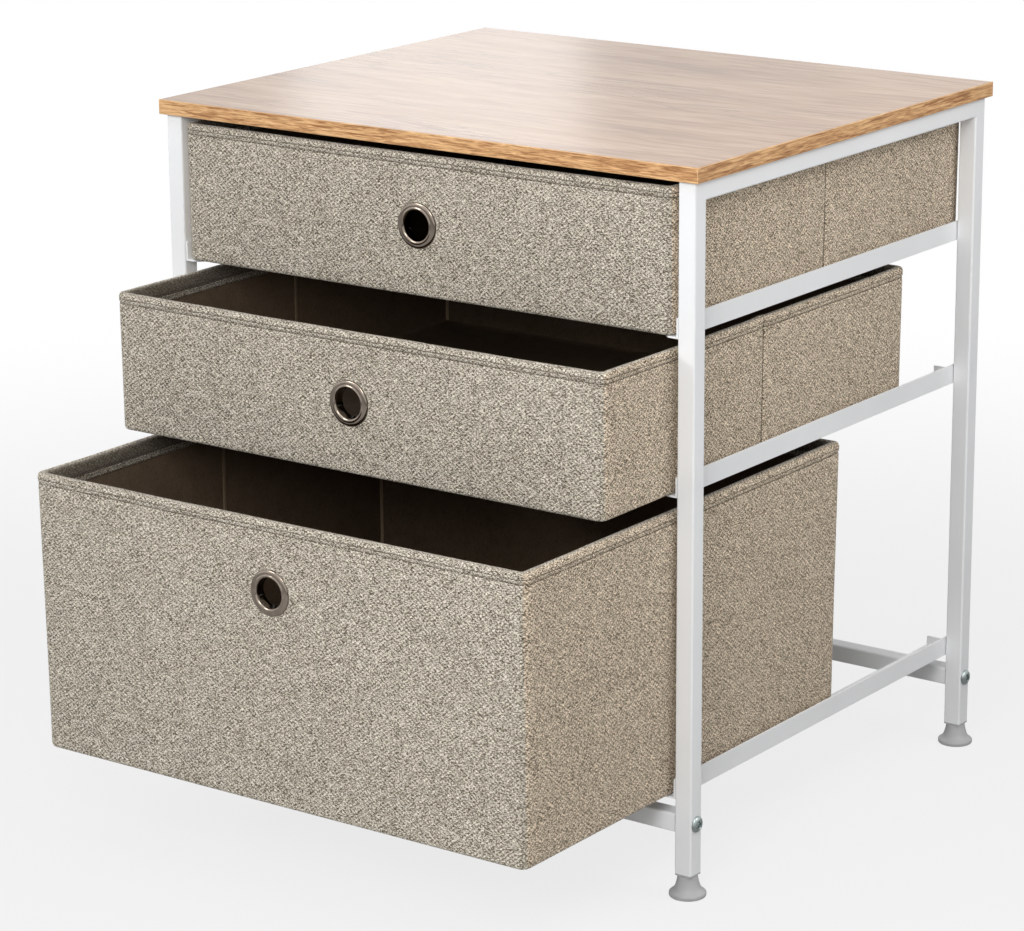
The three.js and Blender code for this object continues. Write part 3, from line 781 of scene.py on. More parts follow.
class DRESSER_OT_runners(Operator):
    """The angle runners, each folded from sheet with its rear stop bent up"""

    bl_idname = "dresser.runners"
    bl_label = "Runners"

    def execute(self, context):
        s = context.scene.dresser_frame
        finish = made_finish("powder_coat", powder_coat, s)
        for drawer in DRAWERS:
            for side, sign in SIDES.items():
                self.add_runner(f"runner_{drawer}_{side}", sign, finish, s)
        return {"FINISHED"}

    @staticmethod
    def add_runner(node, sign, finish, s):
        """A flat shelf is cut to shape, notched beside its stop, and folded up at its wall and stop."""
        low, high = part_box(node)
        wall, edge = (high.x, low.x) if sign > 0 else (low.x, high.x)
        bm = bmesh.new()
        middle = Vector(((wall + edge) / 2, (low.y + high.y) / 2, low.z))
        size = Matrix.Diagonal((abs(wall - edge) / 2, (high.y - low.y) / 2, 1, 1))
        place = Matrix.Translation(middle) @ size
        bmesh.ops.create_grid(bm, x_segments=1, y_segments=1, size=1, matrix=place)
        slit = wall - sign * (s.bend_slit + s.sheet)
        relief = high.y - s.bend_slit
        cuts = [((slit, 0, 0), (1, 0, 0), False), ((0, relief, 0), (0, 1, 0), False)]
        cuts.append(((wall - sign * s.nose, low.y, 0), (-sign, -1, 0), True))
        for point, facing, clears in cuts:
            parts = bm.verts[:] + bm.edges[:] + bm.faces[:]
            bmesh.ops.bisect_plane(bm, geom=parts, clear_outer=clears, plane_co=point, plane_no=facing)
        centres = [(f, f.calc_center_median()) for f in bm.faces]
        notch = [f for f, centre in centres if centre.y > relief and (centre.x - slit) * sign > 0]
        bmesh.ops.delete(bm, geom=notch, context="FACES_ONLY")

        def lies(verts, axis, value):
            """Says of each vertex whether it lies at that place of the axis."""
            return [abs(v.co[axis] - value) < NEAR for v in verts]

        def fold(edges, height):
            made = bmesh.ops.extrude_edge_only(bm, edges=edges)
            bmesh.ops.translate(bm, vec=(0, 0, height), verts=verts_in(made["geom"]))

        rear = [e for e in bm.edges if all(lies(e.verts, 1, high.y))]
        stop = [e for e in rear if not any(lies(e.verts, 0, wall))]
        side = [e for e in bm.edges if all(lies(e.verts, 0, wall))]
        fold(stop, s.stop_height)
        fold(side, high.z - low.z)
        bmesh.ops.delete(bm, geom=[e for e in bm.edges if not e.link_faces], context="EDGES")
        bmesh.ops.recalc_face_normals(bm, faces=bm.faces)
        shelf = next(f for f in bm.faces if abs(f.normal.z) > 0.9)
        if shelf.normal.z > 0:
            bmesh.ops.reverse_faces(bm, faces=bm.faces)
        piece = add_open_piece(bm, f"coated_{node}", finish, "frame", [node])
        add_thickness(piece, s.sheet)
        add_rounding(piece, s.sheet_round)


# Feet and fasteners

# A foot from its sole up to its stem, as radius and height in millimetres
FOOT_PROFILE = [
    (0, 1.2), (9, 1.2), (10.2, 0.5), (11.2, 0), (13.1, 0), (13.9, 0.3), (14.35, 0.8), (14.5, 1.5),
    (14.5, 2.8), (14.35, 3.4), (13.9, 3.9), (13.0, 4.5), (12.0, 5.2), (11.1, 6.1), (10.35, 7.2),
    (9.75, 8.6), (9.2, 10.3), (8.65, 12.2), (8.25, 14.0), (8.0, 15.5), (7.9, 16.6), (7.7, 17.2),
    (7.3, 17.4), (4.3, 17.4), (4.0, 17.8),
]
# The thread above it and the end of its stem, in millimetres too
THREAD_START = 17.9
THREAD_PITCH = 1.25
THREAD_TURNS = 16
THREAD_RADIUS = 4.0
THREAD_ROOT = 3.45
STEM_END = [(3.4, 38.6), (2.6, 39.4), (0, 39.4)]
FOOT_STEPS = 48
# The lines of a screw head's grid, from its middle to its rim, and the two that bound its recess
HEAD_LINES = [0, 0.16, 0.28, 0.42, 0.56, 0.66, 0.76, 0.86, 0.94, 1]
SLOT_LINE = 1
REACH_LINE = 4
# How far the recess narrows towards its floor, how deep it is as a share of the head's radius,
# and how far it is turned
RECESS_TAPER = 0.72
RECESS_DEPTH = 0.3
RECESS_TURN = math.radians(24)


class DRESSER_OT_feet(Operator):
    """The levelling feet and the plugs that they screw into"""

    bl_idname = "dresser.feet"
    bl_label = "Feet and plugs"

    def execute(self, context):
        s = context.scene.dresser_frame
        for corner in CORNERS:
            self.add_foot(corner, s)
            self.add_plug(corner, s)
        return {"FINISHED"}

    @staticmethod
    def add_foot(corner, s):
        """Turned in millimetres, from its sole up to the end of its threaded stem."""
        low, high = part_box(f"foot_{corner}")
        thread = []
        for i in range(THREAD_TURNS):
            thread.append((THREAD_RADIUS, THREAD_START + i * THREAD_PITCH))
            thread.append((THREAD_ROOT, THREAD_START + (i + 0.5) * THREAD_PITCH))
        bm = bmesh.new()
        place = Matrix.Translation(((low.x + high.x) / 2, (low.y + high.y) / 2, 0))
        profile = FOOT_PROFILE + thread + STEM_END
        add_turned(bm, profile, FOOT_STEPS, place @ Matrix.Scale(MM, 4))
        finish = made_finish("foot_grey", moulded_plastic, s.foot)
        body = f"foot_{corner}_body"
        add_piece(bm, f"moulded_foot_{corner}", finish, body, [f"foot_{corner}"], 40)

    @staticmethod
    def add_plug(corner, s):
        """A collar as wide as the tube, and a bored body that fills the tube."""
        low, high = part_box(f"leg_plug_{corner}")
        leg_low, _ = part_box(f"leg_{corner}")
        half = (high.x - low.x) / 2
        centre = (low + high) / 2
        bm = bmesh.new()
        made = bmesh.ops.create_grid(bm, x_segments=1, y_segments=1, size=half)
        round_edges(bm, made["verts"], s.tube_round, 4, "VERTICES")
        sides = [e for e in bm.edges if e.calc_length() > s.tube_round]
        bmesh.ops.subdivide_edges(bm, edges=sides, cuts=6)
        core = next(iter(bm.faces))
        inset = {"use_boundary": True, "use_even_offset": True}
        bmesh.ops.inset_region(bm, faces=[core], thickness=s.plug_ledge, **inset)
        body = bmesh.ops.inset_region(bm, faces=[core], thickness=s.plug_wall, **inset)["faces"]
        for v in core.verts:
            v.co.xy = v.co.xy.normalized() * s.plug_bore
        bmesh.ops.delete(bm, geom=[core], context="FACES_ONLY")

        def raise_faces(faces, height):
            """Lifts a copy of some faces and walls its border. Gives the lifted faces in the same order."""
            spots = [f.calc_center_median() for f in faces]
            up = bmesh.ops.extrude_face_region(bm, geom=faces, use_keep_orig=True)
            lifted = [f for f in up["geom"] if isinstance(f, bmesh.types.BMFace)]
            found = [min(lifted, key=lambda f: (f.calc_center_median() - spot).length) for spot in spots]
            bmesh.ops.translate(bm, vec=(0, 0, height), verts=verts_in(up["geom"]))
            return found

        collar = leg_low.z - low.z
        ledge = [f for f in bm.faces if f not in body]
        top = raise_faces(ledge + body, collar)[len(ledge):]
        raise_faces(top, high.z - low.z - collar)
        bmesh.ops.delete(bm, geom=top, context="FACES_ONLY")
        bmesh.ops.translate(bm, vec=(centre.x, centre.y, low.z), verts=bm.verts)
        finish = made_finish("plug_grey", moulded_plastic, s.plug)
        add_piece(bm, f"moulded_plug_{corner}", finish, "frame", [f"leg_plug_{corner}"], 40)


def cross_head(radius, height, shank_radius, shank, matrix):
    """The mesh of a pan head with a cross recess on a plain shank, its underside at the origin."""
    spread = [-line for line in HEAD_LINES[:0:-1]] + HEAD_LINES
    cells = len(spread) - 1
    slot, reach = HEAD_LINES[SLOT_LINE], HEAD_LINES[REACH_LINE]
    bm = bmesh.new()
    bmesh.ops.create_grid(bm, x_segments=cells, y_segments=cells, size=1)
    for v in bm.verts:
        v.co.x = spread[round((v.co.x + 1) / 2 * cells)]
        v.co.y = spread[round((v.co.y + 1) / 2 * cells)]
    recess = []
    for face in bm.faces:
        x, y = (abs(c) for c in face.calc_center_median().xy)
        if (x < slot and y < reach) or (y < slot and x < reach):
            recess.append(face)
    ring = [e for e in bm.edges if len(e.link_faces) == 1]
    for v in bm.verts:
        x, y = v.co.xy
        v.co.x, v.co.y = x * math.sqrt(1 - y * y / 2), y * math.sqrt(1 - x * x / 2)
        out = min(1, v.co.xy.length)
        v.co.z = height / radius * (0.12 + 0.88 * (1 - out**3.2) ** 0.55)
    floor = verts_in(bmesh.ops.extrude_face_region(bm, geom=recess)["geom"])
    bmesh.ops.delete(bm, geom=[f for f in recess if f.is_valid], context="FACES_ONLY")
    for v in floor:
        v.co.x *= RECESS_TAPER
        v.co.y *= RECESS_TAPER
        v.co.z -= RECESS_DEPTH * (1 - 0.5 * v.co.xy.length)
    neck = shank_radius / radius
    for ring_radius, ring_height in ((1, 0), (neck, 0), (neck, -shank / radius)):
        grown = bmesh.ops.extrude_edge_only(bm, edges=ring)
        fresh = verts_in(grown["geom"])
        for v in fresh:
            v.co.xy = v.co.xy.normalized() * ring_radius
            v.co.z = ring_height
        edges = [e for e in grown["geom"] if isinstance(e, bmesh.types.BMEdge)]
        ring = [e for e in edges if set(e.verts) <= set(fresh)]
    bmesh.ops.edgenet_fill(bm, edges=ring)
    bmesh.ops.transform(bm, matrix=matrix @ Matrix.Scale(radius, 4), verts=bm.verts)
    return bm


class DRESSER_OT_fasteners(Operator):
    """The bolts through the legs and the screws up into the board"""

    bl_idname = "dresser.fasteners"
    bl_label = "Bolts and screws"

    def execute(self, context):
        s = context.scene.dresser_frame
        finish = made_finish("zinc", zinc_plate, s)
        bolt = (s.bolt_head, s.bolt_rise, s.bolt_shank, s.bolt_length)
        screw = (s.screw_head, s.screw_rise, s.screw_shank, s.screw_length)
        spin = Matrix.Rotation(RECESS_TURN, 4, "Z")
        for corner in CORNERS:
            side = corner.split("_")[1]
            low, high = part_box(f"cross_bolt_{corner}")
            leg_low, leg_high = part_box(f"leg_{corner}")
            face = leg_high.x if side == "right" else leg_low.x
            place = Matrix.Translation((face, (low.y + high.y) / 2, (low.z + high.z) / 2))
            turn = Euler((0, SIDES[side] * math.pi / 2, 0)).to_matrix().to_4x4()
            bm = cross_head(*bolt, place @ turn @ spin)
            name = f"zinc_cross_bolt_{corner}"
            add_piece(bm, name, finish, "frame", [f"cross_bolt_{corner}"], 30)
            low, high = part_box(f"tabletop_screw_{corner}")
            rail_low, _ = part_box(f"side_rail_{side}")
            place = Matrix.Translation(((low.x + high.x) / 2, (low.y + high.y) / 2, rail_low.z))
            turn = Matrix.Rotation(math.pi, 4, "X")
            bm = cross_head(*screw, place @ turn @ spin)
            name = f"zinc_board_screw_{corner}"
            add_piece(bm, name, finish, "frame", [f"tabletop_screw_{corner}"], 30)
        return {"FINISHED"}


# Drawers

# Columns of the fabric's mesh beside the fold in the middle of each side
FOLD_COLUMNS = [at * MM for at in (-2.2, -0.8, 0, 0.8, 2.2)]
# The seam in that fold: how far it is pulled in, and its width
FOLD_PULL = 1.1 * MM
FOLD_WIDTH = 1.1 * MM
# A rim's sag and waves, its rise over the fold and the rise's width, and how far down these reach
RIM_SAG = 0.5 * MM
RIM_WAVE = 0.35 * MM
RIM_RISE = 0.8 * MM
RISE_WIDTH = 6 * MM
RIM_REACH = 30 * MM
# A drawer higher than this spreads in full at its rim, and a lower one by a share of that
DEEP_DRAWER = 200 * MM
LOW_SPLAY = 0.35
# Shares of the swell in a side panel, and of the spread towards front and rear
SIDE_SWELL = 0.6
END_SPREAD = 0.3
# How closely the waves follow each other: two in the panels, one in the rim, one in the lining
PANEL_WAVES = (11, 26)
RIM_WAVES = 16
LINING_WAVES = 14
# The rings of a cover's bottom, as shares of its size within this border
BOTTOM_BORDER = 8 * MM
BOTTOM_RINGS = (0.1, 0.4, 0.7, 0.9, 1.0)
# The section of its lower edge in millimetres: in from the outer face, and up from the bottom
BOTTOM_EDGE = [(3, 0), (1.5, 0.4), (0.6, 1.2), (0.15, 2.2)]
# The sections of the parts above: in from the outer face, down from the rim, and the shade painted on a
# hem's ring
HEM = [
    (0, 12.3, 0), (0.05, 10.6, 0), (0.1, 9.6, 0), (0.3, 8.95, 0), (0.55, 8.55, SEWN_FOLD),
    (0.6, 8.2, SEWN_FOLD), (0.35, 7.75, 0.2), (0.1, 7.1, 0), (-0.15, 6.5, 0), (-0.25, 5.9, 0),
    (-0.25, 5.4, 0), (0.1, 4.95, PAINTED_SHADE_FOLD), (0.1, 4.75, PAINTED_SHADE_FOLD), (-0.3, 4.3, 0), (-0.35, 3.5, 0),
]
RIM = [(-0.1, 2.4), (0.35, 1.2), (1.1, 0.45), (2.2, 0.05), (3.4, 0), (4.6, 0.1), (5.6, 0.6), (6.3, 1.4)]
FLAP = [
    (6.7, 2.6), (6.85, 4.2), (6.95, 6.5), (6.85, 8.6), (6.6, 9.7), (6.1, 10.3), (6.5, 10.8),
    (6.35, 11.3), (6.0, 11.4),
]
FLAP_BACK = [
    (5.75, 11.2), (5.7, 9), (5.7, 5), (5.65, 2.6), (5.2, 1.4), (4.2, 0.95), (2.4, 0.9),
    (1.4, 0.95), (1.1, 1.2),
]
# The hem's two rows of stitches: in from the outer face, down from the rim, and how far they give
HEM_STITCHES = ((0.6 * MM, 8.35 * MM, 1), (6.35 * MM, 10.3 * MM, 0))
# The fold's row: how far it starts above the bottom and ends below the rim, how far it stands out,
# and in how many steps it goes up
ROW_START = 5 * MM
ROW_END = 3 * MM
ROW_OUT = 0.45 * MM
ROW_STEPS = 40
# A lining: how far its top lies below the rim, how far down from there its inner side is held, how
# slack it is below that, and its floor's border and number of rings
LINING_TOP = 1.3 * MM
LINING_HELD = 18 * MM
LINING_SLACK = 0.5 * MM
LINING_BORDER = 20 * MM
LINING_RINGS = 19
# How far the tapes' middles lie inside the lining, in the corners and at the folds
CORNER_TAPE_IN = 1.1 * MM
FOLD_TAPE_IN = 0.6 * MM
# A binding's edge in millimetres: out from its back, and in from its border. Its stitches' distance
# from that border.
BINDING_EDGE = [(0, 0), (0.5, 0.05), (0.9, 0.5), (1.05, 1.5)]
BINDING_CROWN = 1.1
BINDING_ROW = 0.9 * MM


class Skin:
    """A skin grown ring by ring round a rectangle with rounded corners."""

    def __init__(self, bm, centre, half, radius, pitch, shape):
        """shape(place, outward, height, give) says how far the fabric lies from its plain place."""
        self.bm = bm
        self.centre = centre
        self.half = half
        self.radius = radius
        self.shape = shape
        self.along = bm.verts.layers.float.new("along")
        self.across = bm.verts.layers.float.new("across")
        # The shade painted on each vertex, which the fabric's finish reads
        self.shade = bm.verts.layers.float.new(PAINTED_SHADE)
        self.ring = self.first_ring(pitch)
        self.cores, self.outs, self.runs = [], [], []
        run = 0
        inner = Vector((half.x - radius, half.y - radius))
        for i, v in enumerate(self.ring):
            core = Vector((max(-inner.x, min(inner.x, v.co.x)), max(-inner.y, min(inner.y, v.co.y))))
            self.cores.append(core)
            self.outs.append((v.co.xy - core).normalized())
            self.runs.append(run)
            run += (self.ring[(i + 1) % len(self.ring)].co - v.co).length
        self.girth = run
        self.depth = 0

    def first_ring(self, pitch):
        """The outline's vertices in order from the middle of the rear."""
        bm, half = self.bm, self.half
        size = Matrix.Diagonal((half.x, half.y, 1, 1))
        made = bmesh.ops.create_grid(bm, x_segments=1, y_segments=1, size=1, matrix=size)
        round_edges(bm, made["verts"], self.radius, 6, "VERTICES")
        bmesh.ops.delete(bm, geom=bm.faces[:], context="FACES_ONLY")
        for edge in [e for e in bm.edges if e.calc_length() > 10 * pitch]:
            cuts = round(edge.calc_length() / pitch) - 1
            bmesh.ops.subdivide_edges(bm, edges=[edge], cuts=cuts)
        for at in FOLD_COLUMNS:
            parts = bm.verts[:] + bm.edges[:]
            bmesh.ops.bisect_plane(bm, geom=parts, dist=NEAR, plane_co=(0, at, 0), plane_no=(0, 1, 0))
        start = min(bm.verts, key=lambda v: (v.co.xy - Vector((0, half.y))).length)
        ring, came = [start], None
        step = max((e.other_vert(start) for e in start.link_edges), key=lambda v: -v.co.x)
        while step is not start:
            ring.append(step)
            came = ring[-2]
            step = next(e.other_vert(step) for e in step.link_edges if e.other_vert(step) is not came)
        return ring

    def ring_edges(self):
        """The edges from each vertex of the last ring to the next one."""
        return [self.bm.edges.get(pair) for pair in zip(self.ring, self.ring[1:] + self.ring[:1])]

    def point(self, i, inset, height, give, scale=1.0):
        """Where the fabric lies in one of its columns, so far in from its outline and so high."""
        flat = (self.cores[i] + self.outs[i] * (self.radius - inset)) * scale
        place = Vector((*flat, height))
        return place + self.shape(place, self.outs[i], height, give) + self.centre

    def start(self, inset, height, scale):
        """Puts the first ring in its place and closes it with a face."""
        for i, v in enumerate(self.ring):
            v.co = self.point(i, inset, height, 0, scale)
        self.bm.faces.new(self.ring)
        self.mark()

    def grow(self, inset, height, give=0.0, scale=1.0, fold=0.0):
        """Grows one more ring of faces. The larger its fold value, the more shade is painted on the ring.
        """
        old = self.ring
        made = bmesh.ops.extrude_edge_only(self.bm, edges=self.ring_edges())
        fresh = set(verts_in(made["geom"]))
        self.ring = [next(w for w in (e.other_vert(v) for e in v.link_edges) if w in fresh) for v in old]
        for i, v in enumerate(self.ring):
            v.co = self.point(i, inset, height, give, scale)
        middle = len(old) // 4
        self.depth += (self.ring[middle].co - old[middle].co).length
        self.mark(fold)

    def mark(self, fold=0.0):
        """Notes each vertex's place on the fabric and the shade painted on it. The fold in the middle of
        each side is sewn.
        """
        for v, run, core, out in zip(self.ring, self.runs, self.cores, self.outs):
            middle = abs(core.y) < MM / 10 and abs(out.x) > SQUARE
            v[self.along] = run
            v[self.across] = self.depth
            v[self.shade] = max(fold, SEWN_FOLD if middle else 0)

    def close(self):
        self.bm.faces.new(self.ring)

    def unwrap(self):
        """Writes the metres along and across the skin into its UV map."""
        layer = self.bm.loops.layers.uv.new(WEAVE_UV)
        for face in self.bm.faces:
            runs = [loop.vert[self.along] for loop in face.loops]
            wraps = max(runs) - min(runs) > self.girth / 2
            for loop, run in zip(face.loops, runs):
                over = self.girth if wraps and run < self.girth / 2 else 0
                loop[layer].uv = (run + over, loop.vert[self.across])

    def cut_hole(self, height, radius):
        """Cuts a round hole through both skins of the front and joins their edges."""
        bm, middle = self.bm, Vector((self.centre.x, self.centre.z + height))
        behind_front = self.centre.y - self.half.y + 10 * MM
        inside = []
        for face in bm.faces:
            place = face.calc_center_median()
            if place.y < behind_front and (Vector((place.x, place.z)) - middle).length < radius:
                inside.append(face)
        bmesh.ops.delete(bm, geom=inside, context="FACES")
        border = [e for e in bm.edges if len(e.link_faces) == 1]
        for v in {v for e in border for v in e.verts}:
            spoke = (Vector((v.co.x, v.co.z)) - middle).normalized() * radius
            v.co.x, v.co.z = middle.x + spoke.x, middle.y + spoke.y
        bmesh.ops.bridge_loops(bm, edges=border)


class Drawer:
    """One drawer's sizes and the shape that its fabric has taken."""

    def __init__(self, name, s, eyelet):
        self.name, self.s, self.eyelet = name, s, eyelet
        low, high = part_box(f"{name}_drawer_cover")
        self.half = Vector(((high.x - low.x) / 2, (high.y - low.y) / 2))
        self.centre = Vector(((low.x + high.x) / 2, (low.y + high.y) / 2, low.z))
        self.height = high.z - low.z
        self.body = f"{name}_drawer"
        self.splay = s.splay if self.height > DEEP_DRAWER else s.splay * LOW_SPLAY
        self.seed = Vector((3.1, 7.7, 1.3)) * (DRAWERS.index(name) + 1)

    def shape(self, place, outward, height, give):
        """The panels swell, the rim spreads, and slow waves run over the fabric."""
        s = self.s
        share_up = max(0.0, min(1.0, height / self.height))
        sideways = abs(outward.x) > abs(outward.y)
        off_middle = place.y / self.half.y if sideways else place.x / self.half.x
        flat = max(0.0, 1 - abs(off_middle) ** 5)
        eyelet_away = Vector((place.x, height - (self.height - self.eyelet.drop))).length
        clear = 1.0
        if outward.y < -0.5:
            clear = smooth(eyelet_away, self.eyelet.rim, 4 * self.eyelet.rim)
        elif outward.y > 0.5:
            clear = smooth(height, s.stop_clear, 3 * s.stop_clear)
        swell = s.bulge * (SIDE_SWELL if sideways else 1.0) * math.sin(math.pi * share_up) ** 0.8 * flat
        slow, quick = (noise.noise(place * closeness + self.seed) for closeness in PANEL_WAVES)
        wave = slow + 0.5 * quick
        swell += s.ripple * wave * flat * math.sin(math.pi * min(1, share_up * 1.06)) ** 0.5
        seam = math.exp(-((place.y / FOLD_WIDTH) ** 2)) if sideways else 0.0
        under_rim = 1 - smooth(height, self.height - s.hem, self.height)
        swell -= seam * FOLD_PULL * under_rim
        moved = Vector((outward.x, outward.y, 0)) * swell * clear * give
        spread = self.splay * share_up**1.4
        moved.x += place.x / self.half.x * spread * give
        moved.y += place.y / self.half.y * spread * END_SPREAD * give
        dip = RIM_SAG * (1 - off_middle * off_middle)
        dip += RIM_WAVE * noise.noise(place * RIM_WAVES - self.seed)
        rise = RIM_RISE * math.exp(-((place.y / RISE_WIDTH) ** 2)) if sideways else 0.0
        moved.z += (rise - dip) * smooth(height, self.height - RIM_REACH, self.height)
        return moved

    def rows(self):
        """Heights of the rows between the bottom's edge and the hem's stitching."""
        low, high = 3.2 * MM, self.height - self.s.hem - 2.4 * MM
        count = round((high - low) / self.s.pitch)
        return [low + (high - low) * i / count for i in range(count + 1)]


def smooth(value, low, high):
    """0 up to low, 1 from high on, and in between it rises smoothly."""
    way = max(0.0, min(1.0, (value - low) / (high - low)))
    return way * way * (3 - 2 * way)


class DRESSER_OT_covers(Operator):
    """The drawers' outer fabric with its turned hem, and the stitching through it"""

    bl_idname = "dresser.covers"
    bl_label = "Drawer covers"

    def execute(self, context):
        s, eyelet = context.scene.dresser_drawers, context.scene.dresser_eyelets
        for name in DRAWERS:
            drawer = Drawer(name, s, eyelet)
            skin = self.add_cover(drawer, s, eyelet)
            self.add_stitching(drawer, skin, s)
            self.add_binding(drawer, s)
        return {"FINISHED"}

    @staticmethod
    def add_cover(drawer, s, eyelet):
        """One closed skin: bottom, wall, hem, rim, flap, and back down behind the wall."""
        top, rows = drawer.height, drawer.rows()
        bm = bmesh.new()
        skin = Skin(bm, drawer.centre, drawer.half, s.corner, s.pitch, drawer.shape)
        skin.start(BOTTOM_BORDER, 0, BOTTOM_RINGS[0])
        for scale in BOTTOM_RINGS[1:]:
            skin.grow(BOTTOM_BORDER, 0, 0, scale)
        for inset, height in BOTTOM_EDGE:
            skin.grow(inset * MM, height * MM, 1)
        for height in rows:
            skin.grow(0, height, 1)
        # Painted shade: the fold values darken the hem's grooves, the rim's inner side and the whole flap
        for inset, drop, fold in HEM:
            skin.grow(inset * MM, top - drop * MM, 1, fold=fold)
        for inset, drop in RIM:
            give = 1 - smooth(inset, 0.5, 6)
            skin.grow(inset * MM, top - drop * MM, give, fold=PAINTED_SHADE_FOLD * smooth(inset, 3, 6.3))
        for inset, drop in FLAP:
            skin.grow(inset * MM, top - drop * MM, 0, fold=PAINTED_SHADE_FOLD)
        for inset, drop in FLAP_BACK:
            skin.grow(inset * MM, top - drop * MM, 1 - smooth(inset, 1, 5.2))
        for height in (top - 4 * MM, top - 8 * MM, *reversed(rows)):
            skin.grow(s.cloth, height, 1)
        skin.grow(1.4 * MM, 1.6 * MM, 1)
        skin.grow(3 * MM, s.cloth, 1)
        for scale in reversed(BOTTOM_RINGS):
            skin.grow(BOTTOM_BORDER, s.cloth, 0, scale)
        skin.close()
        skin.cut_hole(top - eyelet.drop, eyelet.hole)
        skin.unwrap()
        finish = made_finish("heather", heather_weave, s)
        node = f"{drawer.name}_drawer_cover"
        add_piece(bm, f"sewn_{node}", finish, drawer.body, [node], 60)
        return skin

    @staticmethod
    def add_stitching(drawer, skin, s):
        """Thread through the hem, seen outside and inside, and down the fold of each side."""
        bm = bmesh.new()
        top, count = drawer.height, len(skin.runs)
        for inset, drop, give in HEM_STITCHES:
            line = [skin.point(i, inset, top - drop, give) for i in range(count)]
            add_stitches(bm, line + line[:1], s)
        rise = top - ROW_START - ROW_END
        heights = [ROW_START + rise * k / ROW_STEPS for k in range(ROW_STEPS + 1)]
        for sign in SIDES.values():
            i = min(range(count), key=lambda k: abs(skin.cores[k].y) + (skin.outs[k].x * sign < 0))
            add_stitches(bm, [skin.point(i, -ROW_OUT, height, 1) for height in heights], s)
        finish = made_finish("thread", twisted_thread, s.thread_tone)
        add_piece(bm, f"{drawer.name}_drawer_stitching", finish, drawer.body, sharp=80)

    @staticmethod
    def add_binding(drawer, s):
        """The strip over the lining's edge under the turned hem, with its own two rows of stitches."""
        bm = bmesh.new()
        inner = s.lining_inset + s.lining + 0.05 * MM
        skin = Skin(bm, drawer.centre, drawer.half, s.corner, s.pitch, drawer.shape)
        top = drawer.height - s.hem - 0.9 * MM
        low = top - s.binding
        section = [(out, low + up * MM) for out, up in BINDING_EDGE]
        section.append((BINDING_CROWN, (low + top) / 2))
        section += [(out, top - down * MM) for out, down in reversed(BINDING_EDGE)]
        profile = [(inner + out * MM, height) for out, height in section]
        for i, v in enumerate(skin.ring):
            v.co = skin.point(i, *profile[0], 0)
        # Painted shade: the whole binding is darkened by half a shaded fold
        skin.mark(PAINTED_SHADE_FOLD / 2)
        start = skin.ring_edges()
        for inset, height in profile[1:]:
            skin.grow(inset, height, fold=PAINTED_SHADE_FOLD / 2)
        bmesh.ops.bridge_loops(bm, edges=start + skin.ring_edges())
        skin.unwrap()
        finish = made_finish("heather", heather_weave, s)
        add_piece(bm, f"{drawer.name}_drawer_binding", finish, drawer.body, sharp=60)
        bm = bmesh.new()
        outside = inner + BINDING_EDGE[-1][0] * MM
        for height in (low + BINDING_ROW, top - BINDING_ROW):
            line = [skin.point(i, outside, height, 0) for i in range(len(skin.runs))]
            add_stitches(bm, line + line[:1], s)
        finish = made_finish("thread", twisted_thread, s.thread_tone)
        name = f"{drawer.name}_drawer_binding_stitches"
        add_piece(bm, name, finish, drawer.body, sharp=80)


def add_stitches(bm, line, s):
    """Short threads at an even pitch along a line of points."""
    lengths = [(b - a).length for a, b in zip(line, line[1:])]
    whole = sum(lengths)
    count = int(whole / s.stitch_pitch)
    step, passed, i = whole / count, 0.0, 0
    size = Matrix.Diagonal((s.thread / 2, s.thread / 2, s.stitch_length / 2, 1))
    most = 400
    few = bmesh.new()
    for k in range(count):
        at = (k + 0.5) * step
        while passed + lengths[i] < at:
            passed += lengths[i]
            i += 1
        a, b = line[i], line[i + 1]
        place = Matrix.Translation(a.lerp(b, (at - passed) / lengths[i]))
        turn = (b - a).to_track_quat("Z", "Y").to_matrix().to_4x4()
        bmesh.ops.create_icosphere(few, subdivisions=1, radius=1, matrix=place @ turn @ size)
        if len(few.verts) > most or k == count - 1:
            move_into(bm, few)
    few.free()


def move_into(bm, few):
    """Moves a small mesh into a big one. Operators are slow on a big mesh, so its parts are made apart."""
    mesh = bpy.data.meshes.new("few")
    few.to_mesh(mesh)
    few.clear()
    bm.from_mesh(mesh)
    bpy.data.meshes.remove(mesh)


